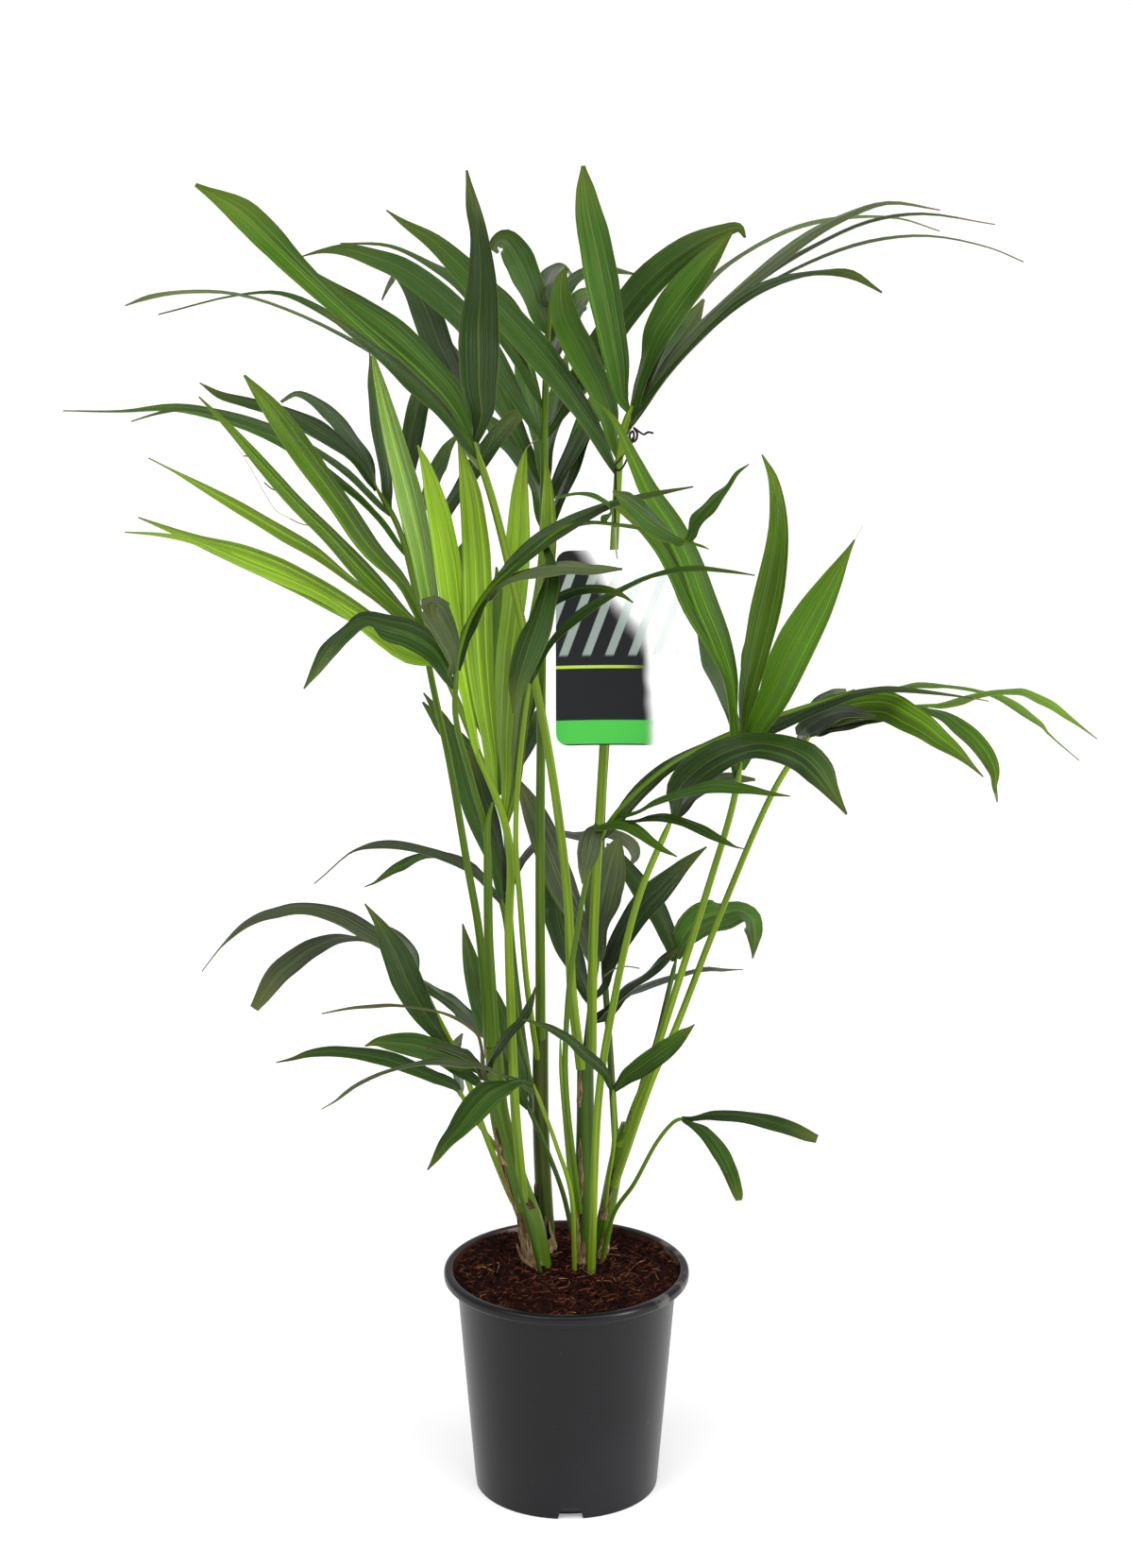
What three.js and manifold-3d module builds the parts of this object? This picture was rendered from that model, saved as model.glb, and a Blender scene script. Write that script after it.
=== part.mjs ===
// A kentia palm in its nursery pot: four young plants grown as one clump, with their
// fronds, the potting mix, the pot and the hang tag tied to one frond stalk.
//
// Units are millimetres, +Z is up, and the origin is the middle of the pot's flat
// underside. +X is to the right of someone who faces the pot and -Y is towards them.

import * as THREE from 'three';
import { mergeVertices } from 'three/addons/utils/BufferGeometryUtils.js';
import Module from 'manifold-3d';

const wasm = await Module();
wasm.setup();

// ---------------------------------------------------------------- driving dimensions

const POT = {
  height: 227,
  rimRadius: 120,
  rimInner: 111,
  neckRadius: 107.7, // outside of the wall, just under the lip
  neckHeight: 217,
  footRadius: 90,
  wall: 2,
  lip: 10, // height of the rolled lip
  seat: 62, // radius of the flat middle of the underside
  footWall: 5,
  channel: 9, // how far the drain channel is raised above the ground
  notchWidth: 24,
  notches: 4,
  notchTurn: 2.5, // degrees from straight in front to the first notch
  floorTop: 12,
};
const SOIL_TOP = 222; // the potting mix is level round the stems
const SOIL_EDGE = 215; // and falls off towards the wall
const SOIL_LEVEL_RADIUS = 72;

const CLEAR = 0.3; // gap between a stalk and what carries it
const LEAF_THICK = 4.2; // at the ridge, over a hundredth of the longest leaflet
const LEAF_ROOT = 5; // width of a leaflet where it leaves the rachis
const LEAF_LEAST = 1.6; // width of its thinnest thread
const STALK_SIDES = 5;
const STEM_SIDES = 10;
const ROUND = 24; // facets round the pot

// The clump is laid out in elevation. A place is given across and up, as seen on the
// upright plane through the pot's axis by an eye at this height and distance in front,
// and is then set back along its line of sight. Less than 0 back is nearer the eye.
const EYE = new THREE.Vector3(0, -3545, 1770);

function place(across, up, back) {
  const stretch = 1 - back / EYE.y;
  return new THREE.Vector3(across * stretch, back, EYE.z + (up - EYE.z) * stretch);
}

// ---------------------------------------------------------------- the plant's own sizes

// A stem: points of its middle line as [across, up, back, radius].
const STEMS = {
  stem_left: [
    [-28, 225, 20, 14], [-35, 275, 20, 12], [-50, 322, 20, 11], [-65, 387, 19, 9.5],
    [-70, 452, 18, 8.5], [-72, 468, 17, 4.5], [-75, 560, 16, 3.9], [-75, 670, 18, 3.2],
    [-70, 702, 19, 1.2],
  ],
  stem_back: [[-18, 232, 51, 9], [-22, 300, 51, 8.5], [-25, 380, 51, 8], [-25, 476, 52, 7.5]],
  stem_middle: [[15, 225, 20, 11], [17, 300, 21, 9.5], [18, 380, 23, 8.5], [18, 450, 24, 8]],
  stem_right: [[30, 232, 42, 9], [40, 290, 43, 8], [50, 345, 44, 7.5], [60, 376, 46, 7.5]],
  young_spear: [[7, 285, 14, 3], [0, 370, 12, 2.8], [-5, 430, 11, 2.2], [-6, 464, 11, 0.8]],
};

// A frond:
//   stalk     points of the petiole and rachis, [across, up, back], from the stem outwards
//   thick     radius of the stalk where it leaves the stem, and at the rachis's end
//   broad     greatest true width of a leaflet
//   leaflets  [root, back, points]. root is how far below the rachis's end the leaflet
//             grows, back is the depth of its tip, and points are [across, up, width seen]
//             along its middle line. A leaflet that shows less than its true width to the
//             eye is turned, with its face to the sky.
const FRONDS = {
  frond_high_left: {
    stalk: [[14, 434, 18], [5, 515, 8], [0, 620, -4], [-20, 770, -24], [-60, 960, -50],
      [-85, 1048, -62]],
    thick: [5, 3.4],
    broad: 38,
    leaflets: [
      [5, -140, [[-110, 1082, 20], [-148, 1120, 24], [-200, 1168, 17], [-240, 1206, 19],
        [-270, 1236, 27], [-295, 1260, 26], [-335, 1284, 2]]],
      [0, 60, [[-100, 1090, 20], [-128, 1124, 22], [-160, 1156, 22], [-190, 1177, 17],
        [-212, 1191, 10], [-236, 1208, 2]]],
      [25, -100, [[-110, 1075, 5], [-140, 1104, 4], [-170, 1127, 3], [-240, 1165, 3],
        [-300, 1185, 2], [-350, 1187, 3], [-380, 1182, 5], [-402, 1174, 1]]],
      [15, -20, [[-110, 1078, 6], [-150, 1110, 7], [-190, 1148, 8], [-225, 1172, 6],
        [-260, 1186, 3], [-300, 1184, 2], [-372, 1166, 1]]],
      [12, -200, [[-115, 1080, 14], [-150, 1113, 14], [-190, 1146, 8], [-226, 1172, 1]]],
      [0, -100, [[-78, 1075, 24], [-80, 1100, 33], [-80, 1131, 38], [-80, 1158, 36],
        [-78, 1183, 28], [-78, 1216, 22], [-80, 1240, 16], [-85, 1265, 13], [-90, 1297, 1]]],
      [8, 240, [[-96, 1090, 18], [-107, 1118, 24], [-117, 1140, 27], [-127, 1168, 28],
        [-140, 1192, 20], [-153, 1203, 8], [-160, 1196, 5], [-168, 1179, 1.5]]],
      [20, 300, [[-95, 1085, 20], [-100, 1110, 28], [-112, 1135, 20], [-120, 1150, 3]]],
    ],
  },
  frond_high_middle: {
    stalk: [[-25, 464, 46], [-25, 655, 54], [-23, 840, 62], [-20, 1055, 70], [-18, 1125, 76],
      [-15, 1180, 84]],
    thick: [5, 2.6],
    broad: 34,
    leaflets: [
      [130, 20, [[-45, 1092, 15], [-80, 1148, 24], [-111, 1180, 26], [-149, 1208, 21],
        [-175, 1218, 17], [-200, 1225, 12], [-222, 1224, 4], [-240, 1219, 1]]],
      [100, 130, [[-40, 1120, 10], [-75, 1170, 14], [-95, 1195, 12], [-120, 1211, 7],
        [-160, 1229, 3], [-205, 1231, 1]]],
      [30, 300, [[-24, 1165, 16], [-33, 1193, 27], [-45, 1220, 31], [-56, 1234, 22],
        [-66, 1229, 10], [-62, 1222, 3]]],
      [60, 280, [[-35, 1150, 14], [-60, 1180, 20], [-82, 1200, 16], [-100, 1215, 2]]],
      [40, 180, [[-12, 1160, 10], [-6, 1183, 15], [8, 1200, 11], [33, 1208, 10],
        [62, 1203, 1.5]]],
      [5, 330, [[-18, 1185, 16], [-12, 1205, 14], [-2, 1208, 8], [7, 1199, 2]]],
      [60, 330, [[-8, 1140, 14], [5, 1170, 24], [16, 1184, 16], [25, 1190, 3]]],
      [128, 40, [[-8, 1075, 11], [5, 1098, 18], [30, 1137, 28], [70, 1192, 31],
        [110, 1226, 25], [140, 1241, 14], [156, 1245, 9], [162, 1236, 2]]],
      [120, 320, [[5, 1090, 16], [25, 1120, 24], [34, 1142, 18], [40, 1160, 3]]],
    ],
  },
  frond_high_right: {
    stalk: [[24, 438, 22], [26, 580, 26], [35, 755, 20], [45, 965, 8], [50, 1045, 2],
      [60, 1082, 0]],
    thick: [5, 3.4],
    broad: 36,
    leaflets: [
      [5, -10, [[52, 1090, 14], [49, 1110, 20], [44, 1140, 26], [34, 1192, 31],
        [24, 1241, 29], [20, 1259, 25], [17, 1281, 17], [15, 1301, 3]]],
      [65, 10, [[32, 1052, 14], [10, 1086, 21], [-20, 1127, 27], [-60, 1172, 27],
        [-90, 1204, 24], [-120, 1232, 16], [-148, 1250, 6], [-163, 1261, 1]]],
      [30, 0, [[72, 1122, 14], [80, 1147, 24], [95, 1172, 32], [113, 1196, 28],
        [132, 1220, 18], [150, 1241, 2]]],
      [10, 110, [[90, 1145, 8], [120, 1188, 6], [147, 1213, 4], [200, 1243, 4],
        [246, 1254, 3], [300, 1254, 2], [338, 1242, 1]]],
      [20, -60, [[90, 1120, 8], [130, 1165, 9], [170, 1201, 9], [217, 1237, 10],
        [250, 1255, 8], [290, 1268, 3], [338, 1261, 1]]],
      [15, 30, [[90, 1115, 5], [130, 1160, 5], [176, 1200, 5], [224, 1229, 4],
        [273, 1251, 3], [322, 1258, 2], [388, 1248, 1]]],
      [25, -20, [[80, 1098, 4], [120, 1143, 4], [165, 1183, 3], [220, 1214, 3],
        [274, 1233, 2.5], [328, 1238, 2], [384, 1227, 1.2], [415, 1214, 1]]],
      [12, -120, [[85, 1105, 4], [125, 1150, 6], [160, 1182, 8], [190, 1197, 9],
        [228, 1205, 4], [258, 1203, 9], [287, 1186, 1.5]]],
      [50, 20, [[35, 1090, 24], [15, 1130, 28], [-2, 1165, 26], [-5, 1195, 14], [0, 1210, 2]]],
      [20, 290, [[80, 1110, 18], [100, 1140, 26], [115, 1162, 18], [125, 1180, 3]]],
    ],
  },
  frond_left: {
    stalk: [[-75, 445, 24], [-82, 560, 40], [-95, 645, 52], [-110, 740, 72], [-125, 815, 86],
      [-150, 950, 104], [-178, 1010, 112]],
    thick: [4.2, 2.6],
    broad: 30,
    leaflets: [
      [75, 150, [[-171, 977, 6], [-211, 1013, 7], [-262, 1049, 10], [-317, 1073, 11],
        [-360, 1081, 7], [-410, 1077, 2.5], [-462, 1077, 1]]],
      [35, 60, [[-191, 1011, 6], [-230, 1041, 7], [-262, 1057, 9], [-310, 1073, 10],
        [-350, 1080, 6], [-375, 1075, 2], [-400, 1067, 1]]],
      [5, 180, [[-190, 1029, 9], [-210, 1047, 15], [-232, 1063, 18], [-262, 1077, 14],
        [-295, 1086, 9], [-318, 1092, 8], [-336, 1103, 1]]],
      [8, 320, [[-185, 1032, 12], [-197, 1050, 16], [-212, 1070, 15], [-228, 1085, 10],
        [-247, 1093, 6], [-262, 1085, 3]]],
      [35, 300, [[-164, 1000, 8], [-167, 1028, 14], [-172, 1068, 15], [-176, 1098, 12],
        [-178, 1120, 6], [-180, 1130, 1]]],
      [80, 190, [[-150, 990, 10], [-146, 1030, 17], [-140, 1065, 22], [-133, 1092, 20],
        [-124, 1115, 10], [-118, 1128, 1]]],
      [90, 300, [[-136, 980, 8], [-128, 1000, 14], [-120, 1022, 17], [-110, 1042, 11],
        [-99, 1056, 2]]],
      [100, 200, [[-117, 975, 12], [-100, 1002, 15], [-80, 1032, 18], [-60, 1058, 18],
        [-45, 1073, 14], [-34, 1077, 4]]],
    ],
  },
  frond_young_left: {
    stalk: [[-42, 296, 10], [-50, 400, 0], [-55, 560, -4], [-55, 665, -8], [-85, 755, -20],
      [-133, 878, -30]],
    thick: [5, 3],
    broad: 34,
    leaflets: [
      [215, 60, [[-50, 730, 12], [-43, 790, 17], [-33, 850, 18], [-24, 900, 18],
        [-18, 950, 17], [-17, 990, 13], [-18, 1020, 5], [-20, 1035, 1]]],
      [205, 20, [[-60, 730, 11], [-60, 780, 17], [-56, 850, 22], [-49, 906, 24],
        [-45, 957, 23], [-43, 1000, 16], [-40, 1028, 8], [-37, 1042, 1]]],
      [190, -60, [[-68, 740, 12], [-76, 800, 21], [-81, 860, 27], [-82, 910, 28],
        [-84, 950, 26], [-89, 1000, 20], [-95, 1030, 9], [-100, 1052, 1]]],
      [150, -90, [[-95, 830, 16], [-103, 880, 22], [-109, 930, 24], [-117, 975, 22],
        [-124, 1005, 16], [-131, 1030, 8], [-137, 1045, 1]]],
      [60, -110, [[-120, 872, 12], [-127, 905, 19], [-134, 950, 22], [-145, 1000, 24],
        [-158, 1050, 20], [-169, 1095, 11], [-176, 1125, 4], [-178, 1139, 1]]],
      [5, -60, [[-148, 912, 12], [-180, 948, 18], [-208, 990, 21], [-232, 1024, 23],
        [-252, 1052, 23], [-270, 1078, 18], [-284, 1096, 10], [-295, 1110, 2]]],
      [10, -130, [[-160, 897, 14], [-190, 928, 18], [-220, 962, 16], [-250, 993, 12],
        [-284, 1032, 12], [-310, 1062, 7], [-337, 1090, 1]]],
      [15, -40, [[-165, 893, 6], [-195, 915, 7], [-232, 945, 10], [-262, 963, 13],
        [-300, 986, 13], [-335, 1006, 6], [-360, 1020, 2], [-385, 1033, 1]]],
      [40, -180, [[-150, 852, 12], [-183, 879, 16], [-223, 904, 22], [-262, 925, 25],
        [-300, 941, 20], [-335, 953, 11], [-358, 962, 7], [-396, 977, 1]]],
      [42, -200, [[-150, 846, 8], [-223, 902, 12], [-300, 936, 10], [-345, 955, 6],
        [-377, 961, 3], [-409, 963, 1]]],
      [40, 240, [[-112, 870, 18], [-108, 900, 26], [-100, 935, 18], [-90, 960, 3]]],
    ],
  },
  frond_right: {
    stalk: [[58, 368, 40], [66, 394, 40], [80, 432, 40], [108, 525, 26], [137, 625, -4],
      [155, 690, -24], [165, 742, -44]],
    thick: [4.2, 3],
    broad: 38,
    leaflets: [
      [5, -60, [[160, 790, 8], [156, 825, 11], [146, 860, 18], [130, 900, 24], [117, 935, 22],
        [100, 968, 20], [78, 1000, 18], [62, 1032, 13], [43, 1070, 5], [25, 1088, 1]]],
      [8, -70, [[158, 790, 7], [152, 825, 9], [138, 860, 16], [118, 897, 22], [104, 925, 20],
        [88, 952, 18], [68, 973, 14], [50, 986, 8], [40, 992, 2]]],
      [0, -20, [[164, 765, 8], [167, 800, 14], [174, 840, 25], [182, 880, 29], [189, 915, 26],
        [195, 957, 21], [195, 985, 16], [190, 1015, 9], [180, 1036, 1]]],
      [8, -150, [[169, 755, 12], [178, 778, 22], [190, 800, 29], [204, 835, 36], [216, 860, 37],
        [232, 890, 31], [248, 920, 18], [259, 941, 7], [267, 956, 1]]],
      [10, 260, [[170, 790, 12], [175, 850, 24], [183, 878, 18], [190, 900, 3]]],
      [20, 240, [[158, 780, 10], [140, 830, 20], [130, 858, 14], [120, 880, 3]]],
    ],
  },
  frond_far_right: {
    stalk: [[46, 312, 34], [60, 355, 29], [72, 392, 26], [86, 432, 28], [106, 478, 36], [150, 600, 54],
      [195, 712, 68], [236, 778, 76]],
    thick: [4.2, 2.8],
    broad: 30,
    leaflets: [
      [5, -60, [[248, 787, 16], [265, 794, 24], [285, 797, 28], [303, 795, 30], [321, 785, 28],
        [336, 776, 25], [351, 764, 19], [367, 752, 12], [381, 739, 5], [393, 727, 1]]],
      [2, 40, [[270, 788, 8], [310, 793, 8], [333, 794, 6], [341, 792, 7], [355, 787, 10],
        [369, 777, 15], [383, 765, 17], [394, 751, 17], [401, 738, 14], [404, 728, 9],
        [404, 718, 5], [406, 708, 3], [407, 702, 1.5]]],
      [0, 120, [[262, 790, 6], [300, 795, 4], [339, 797, 3], [350, 797, 5], [369, 802, 7],
        [381, 806, 5], [400, 810, 5], [419, 811, 7], [429, 810, 8], [442, 804, 9],
        [456, 797, 8], [468, 788, 6], [480, 779, 3], [499, 764, 0.8]]],
      [3, 180, [[256, 798, 5], [290, 808, 4], [317, 815, 3], [329, 817, 5], [342, 817, 5],
        [354, 816, 3], [377, 813, 4], [390, 810, 3], [403, 806, 5], [414, 801, 7],
        [427, 793, 8], [438, 785, 6], [448, 777, 4], [454, 769, 2], [483, 743, 0.8]]],
      [12, 0, [[222, 772, 16], [232, 779, 22], [246, 786, 20], [262, 790, 12], [290, 786, 3]]],
      [8, 60, [[246, 774, 7], [268, 779, 7], [290, 783, 5], [312, 785, 2]]],
      [30, 330, [[225, 775, 10], [240, 800, 18], [252, 808, 12], [262, 812, 3]]],
    ],
  },
  frond_near_right: {
    stalk: [[24, 214, 0], [30, 390, -6], [45, 500, -12], [68, 605, -20], [102, 692, -30]],
    thick: [4.2, 3],
    broad: 38,
    leaflets: [
      [5, -190, [[104, 712, 24], [121, 732, 32], [148, 750, 30], [178, 759, 21], [202, 756, 26],
        [224, 746, 31], [239, 731, 28], [249, 715, 16], [265, 690, 1]]],
      [5, 80, [[116, 706, 12], [132, 720, 14], [155, 727, 10], [178, 724, 3]]],
    ],
  },
  frond_arching: {
    stalk: [[13, 284, 12], [0, 405, -4], [0, 480, -12], [8, 560, -24], [30, 662, -40], [80, 725, -46],
      [150, 768, -18], [270, 812, 4]],
    thick: [3, 2],
    broad: 22,
    leaflets: [
      [293, -50, [[30, 676, 8], [25, 671, 17], [22, 661, 22], [20, 649, 21], [17, 635, 12],
        [15, 621, 1]]],
      [284, -90, [[26, 677, 2], [36, 679, 7], [48, 681, 10], [59, 679, 11], [70, 672, 11],
        [81, 663, 9], [92, 655, 5], [105, 648, 1]]],
      [268, -120, [[64, 684, 2], [76, 687, 5], [89, 688, 7], [101, 686, 8], [114, 682, 9],
        [127, 676, 10], [139, 669, 8], [152, 662, 5], [160, 658, 2], [168, 656, 0.8]]],
      [262, -160, [[66, 693, 2], [80, 701, 4], [100, 709, 7], [117, 714, 9], [134, 718, 12],
        [148, 718, 12], [162, 716, 11], [176, 714, 8], [190, 711, 5], [203, 709, 2.5],
        [211, 708, 1]]],
      [292, 30, [[45, 680, 10], [58, 699, 14], [75, 719, 15], [95, 737, 13], [125, 753, 12],
        [160, 766, 11], [190, 775, 12], [208, 783, 12], [231, 794, 12], [250, 802, 12],
        [265, 807, 9], [284, 811, 7], [304, 813, 6], [338, 810, 3.5], [373, 805, 1.5],
        [396, 801, 1]]],
    ],
  },
  frond_low_right: {
    stalk: [[62, 374, 52], [75, 425, 56], [86, 460, 60], [95, 500, 76], [105, 546, 104]],
    thick: [3, 2.4],
    broad: 36,
    leaflets: [
      [3, 200, [[102, 560, 14], [98, 570, 18], [88, 592, 22], [77, 611, 22], [63, 630, 19],
        [52, 644, 14], [45, 655, 8], [38, 661, 2]]],
      [0, 230, [[109, 562, 20], [117, 575, 30], [130, 586, 35], [140, 590, 34], [150, 591, 30],
        [164, 594, 16], [176, 586, 22], [179, 573, 19], [179, 559, 9], [178, 546, 1]]],
    ],
  },
  frond_inner: {
    stalk: [[17, 436, 30], [24, 505, 48], [30, 548, 62]],
    thick: [3.4, 2.6],
    broad: 38,
    leaflets: [
      [5, 160, [[30, 565, 14], [31, 585, 26], [34, 605, 36], [38, 625, 38], [42, 642, 32],
        [46, 655, 20], [50, 668, 3]]],
      [40, 150, [[34, 520, 8], [37, 532, 11], [45, 554, 17], [57, 577, 24], [70, 597, 27],
        [85, 614, 26], [99, 628, 20], [112, 641, 13], [123, 650, 7], [133, 658, 1]]],
      [62, 240, [[36, 490, 8], [52, 507, 7], [68, 515, 7.5], [85, 522, 6], [102, 528, 5],
        [119, 533, 5], [137, 536, 5], [152, 535, 2], [169, 535, 0.7]]],
      [60, 30, [[40, 498, 5], [55, 514, 7], [74, 528, 8], [91, 543, 10], [101, 552, 8],
        [110, 558, 2]]],
      [10, 110, [[20, 565, 12], [10, 590, 20], [-5, 625, 28], [-18, 660, 30], [-30, 690, 24],
        [-40, 712, 12], [-46, 726, 1]]],
      [45, 240, [[12, 530, 14], [3, 555, 26], [-4, 580, 32], [-8, 605, 30], [-12, 630, 20],
        [-14, 650, 6]]],
    ],
  },
  frond_near_left: {
    stalk: [[-66, 446, 25], [-73, 560, 30], [-75, 660, 31], [-88, 718, 4], [-103, 778, -36],
      [-104, 815, -54], [-100, 850, -68], [-80, 897, -88], [-35, 940, -108], [5, 970, -118],
      [60, 968, -128], [118, 952, -136], [132, 947, -140]],
    thick: [3.6, 1.2],
    broad: 36,
    leaflets: [
      [346, -180, [[-122, 850, 24], [-145, 866, 28], [-168, 873, 24], [-190, 879, 10],
        [-208, 866, 15], [-222, 851, 17], [-234, 832, 10], [-246, 813, 1]]],
      [331, -240, [[-104, 852, 14], [-112, 872, 26], [-121, 887, 28], [-127, 894, 18],
        [-124, 880, 6]]],
      [326, -150, [[-98, 862, 10], [-88, 880, 13], [-72, 909, 7], [-52, 933, 12],
        [-25, 956, 16], [0, 971, 16], [20, 981, 12], [44, 991, 5], [84, 1000, 5],
        [117, 1006, 1]]],
      [96, -150, [[42, 985, 4], [30, 996, 4], [11, 1000, 3], [-12, 995, 1]]],
      [241, -190, [[-55, 918, 5], [-30, 927, 11], [0, 930, 13], [25, 928, 10], [52, 928, 2]]],
      [161, -230, [[-16, 920, 13], [-22, 893, 20], [-30, 868, 26], [-39, 842, 25],
        [-46, 816, 17], [-50, 789, 2]]],
      [23, -200, [[96, 962, 12], [75, 977, 22], [58, 991, 16], [43, 1002, 2]]],
      [23, -150, [[118, 973, 14], [134, 991, 11], [147, 1005, 6], [157, 1019, 3],
        [168, 1027, 1]]],
    ],
  },
  frond_near_middle: {
    stalk: [[-28, 444, 46], [-38, 520, 20], [-44, 600, -6], [-48, 660, -22], [-46, 720, -34],
      [-40, 780, -46], [-34, 822, -56]],
    thick: [3, 2.2],
    broad: 20,
    leaflets: [
      [3, -130, [[-19, 853, 6], [10, 883, 9], [45, 906, 6], [81, 923, 4], [118, 929, 5],
        [150, 926, 3.5], [175, 922, 1]]],
      [6, -170, [[-28, 870, 6], [-14, 896, 7], [8, 907, 9], [33, 909, 8], [50, 904, 5],
        [62, 896, 1]]],
    ],
  },
  frond_mid_left: {
    stalk: [[-29, 396, 58], [-45, 465, 62], [-52, 530, 66], [-57, 575, 70], [-62, 606, 76]],
    thick: [3.2, 2.4],
    broad: 22,
    leaflets: [
      [2, 40, [[-80, 628, 9], [-98, 641, 9], [-116, 649, 9], [-134, 655, 9], [-150, 659, 9],
        [-167, 661, 8], [-183, 660, 6], [-195, 657, 3], [-207, 651, 1.5], [-230, 630, 1],
        [-240, 621, 1]]],
      [4, 160, [[-90, 640, 8], [-115, 650, 6], [-130, 650, 4], [-142, 647, 8],
        [-154, 641, 12], [-164, 636, 9], [-175, 628, 5], [-183, 622, 2], [-192, 618, 1]]],
      [8, 150, [[-64, 625, 10], [-70, 647, 14], [-79, 670, 16], [-88, 693, 18],
        [-94, 711, 17], [-100, 734, 15], [-105, 755, 12], [-112, 776, 12], [-125, 796, 7],
        [-134, 809, 1]]],
      [12, 240, [[-62, 640, 12], [-70, 680, 16], [-77, 705, 16], [-84, 730, 12], [-90, 755, 2]]],
      [6, 330, [[-45, 640, 6], [-25, 664, 8], [-8, 671, 8], [13, 669, 8], [35, 672, 10],
        [52, 667, 12], [63, 658, 14], [65, 648, 10], [61, 640, 2]]],
    ],
  },
  frond_low_left: {
    stalk: [[-46, 288, 24], [-56, 305, 22], [-80, 370, 14], [-100, 435, 6], [-130, 500, -4],
      [-142, 530, -8]],
    thick: [3.4, 2.4],
    broad: 28,
    leaflets: [
      [2, -60, [[-152, 544, 10], [-165, 556, 13], [-180, 567, 16], [-196, 578, 17],
        [-211, 587, 16], [-227, 593, 15], [-245, 597, 13], [-261, 597, 12], [-277, 593, 10],
        [-291, 589, 8], [-306, 581, 6], [-318, 571, 4.5], [-331, 557, 1.3], [-349, 533, 0.8]]],
      [6, 50, [[-148, 535, 6], [-158, 547, 7], [-176, 561, 7], [-191, 566, 5], [-205, 567, 6],
        [-219, 566, 10], [-234, 561, 15], [-248, 554, 19], [-262, 543, 22], [-275, 532, 22],
        [-284, 520, 20], [-292, 507, 15], [-300, 495, 9]]],
      [88, -140, [[-122, 470, 14], [-133, 486, 22], [-143, 503, 27], [-153, 524, 30],
        [-160, 543, 28], [-168, 560, 22], [-178, 580, 10], [-192, 601, 1]]],
      [4, 100, [[-130, 516, 8], [-118, 507, 12], [-108, 500, 14], [-98, 491, 15],
        [-88, 481, 14], [-80, 471, 10], [-73, 459, 2]]],
      [30, 220, [[-145, 530, 10], [-150, 555, 14], [-162, 570, 10], [-175, 580, 2]]],
    ],
  },
  frond_lower_left: {
    stalk: [[-58, 338, 30], [-75, 362, 34], [-90, 385, 38], [-104, 412, 44]],
    thick: [2.8, 2.2],
    broad: 22,
    leaflets: [
      [2, 40, [[-109, 417, 11], [-126, 425, 13], [-146, 434, 14], [-167, 443, 15],
        [-188, 448, 15], [-208, 451, 12], [-229, 452, 10], [-250, 449, 7], [-264, 444, 3.5],
        [-280, 440, 1]]],
      [6, 240, [[-105, 430, 10], [-108, 445, 14], [-105, 460, 10], [-100, 470, 2]]],
    ],
  },
  frond_thin_left: {
    stalk: [[-24, 214, -2], [-40, 285, -8], [-58, 350, -9], [-70, 395, -11], [-80, 430, -14]],
    thick: [2.4, 1.8],
    broad: 24,
    leaflets: [
      [4, -60, [[-88, 436, 14], [-98, 441, 20], [-110, 446, 23], [-126, 452, 23],
        [-146, 458, 24], [-160, 460, 20], [-172, 461, 15], [-183, 461, 8], [-194, 457, 1]]],
      [12, -150, [[-84, 467, 3], [-94, 478, 3], [-111, 488, 2.5],
        [-130, 494, 2], [-166, 499, 2.5], [-186, 498, 3], [-207, 496, 3], [-235, 490, 1]]],
      [1, -40, [[-70, 448, 7], [-63, 460, 8], [-54, 472, 9], [-45, 482, 9],
        [-38, 493, 9], [-33, 505, 5], [-30, 517, 1]]],
      [9, -50, [[-92, 446, 8], [-102, 451, 9], [-113, 455, 8], [-123, 457, 5],
        [-131, 456, 3], [-135, 451, 1]]],
      [18, -20, [[-100, 431, 13], [-112, 436, 10], [-124, 440, 3]]],
    ],
  },
  leaf_front: {
    stalk: [[8, 214, 2], [5, 300, -6], [-10, 355, -18], [-32, 418, -36]],
    thick: [2.4, 2],
    broad: 28,
    leaflets: [
      [2, -200, [[-42, 422, 6], [-53, 420, 9], [-63, 415, 19], [-73, 410, 26], [-85, 398, 28],
        [-96, 384, 24], [-106, 370, 18], [-117, 357, 13], [-127, 341, 7], [-135, 329, 1]]],
      [10, -130, [[-48, 424, 2], [-63, 428, 2], [-76, 435, 4], [-88, 439, 5], [-100, 440, 6.5],
        [-115, 442, 6.5], [-128, 442, 6.5], [-142, 440, 5], [-155, 437, 4], [-180, 429, 3],
        [-205, 416, 3], [-215, 408, 3.5], [-223, 401, 2], [-237, 392, 0.8]]],
    ],
  },
  leaf_behind: {
    stalk: [[6, 262, 25], [-5, 310, 30], [-25, 365, 34], [-38, 396, 36]],
    thick: [2.6, 2.2],
    broad: 26,
    leaflets: [
      [2, 60, [[-43, 430, 14], [-50, 450, 18], [-56, 470, 18], [-61, 488, 14], [-66, 505, 8],
        [-71, 520, 1]]],
      [4, 90, [[-46, 410, 10], [-58, 440, 16], [-69, 464, 18], [-77, 482, 18], [-83, 501, 19],
        [-87, 519, 19], [-90, 535, 18], [-93, 550, 14], [-96, 565, 8], [-99, 581, 1]]],
    ],
  },
  leaf_pair_middle: {
    stalk: [[37, 284, 39], [40, 315, 24], [46, 360, 4], [45, 412, -24]],
    thick: [2.4, 2],
    broad: 22,
    leaflets: [
      [2, -80, [[41, 425, 9], [32, 437, 11], [22, 446, 11], [11, 456, 11], [3, 464, 9.5],
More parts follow.
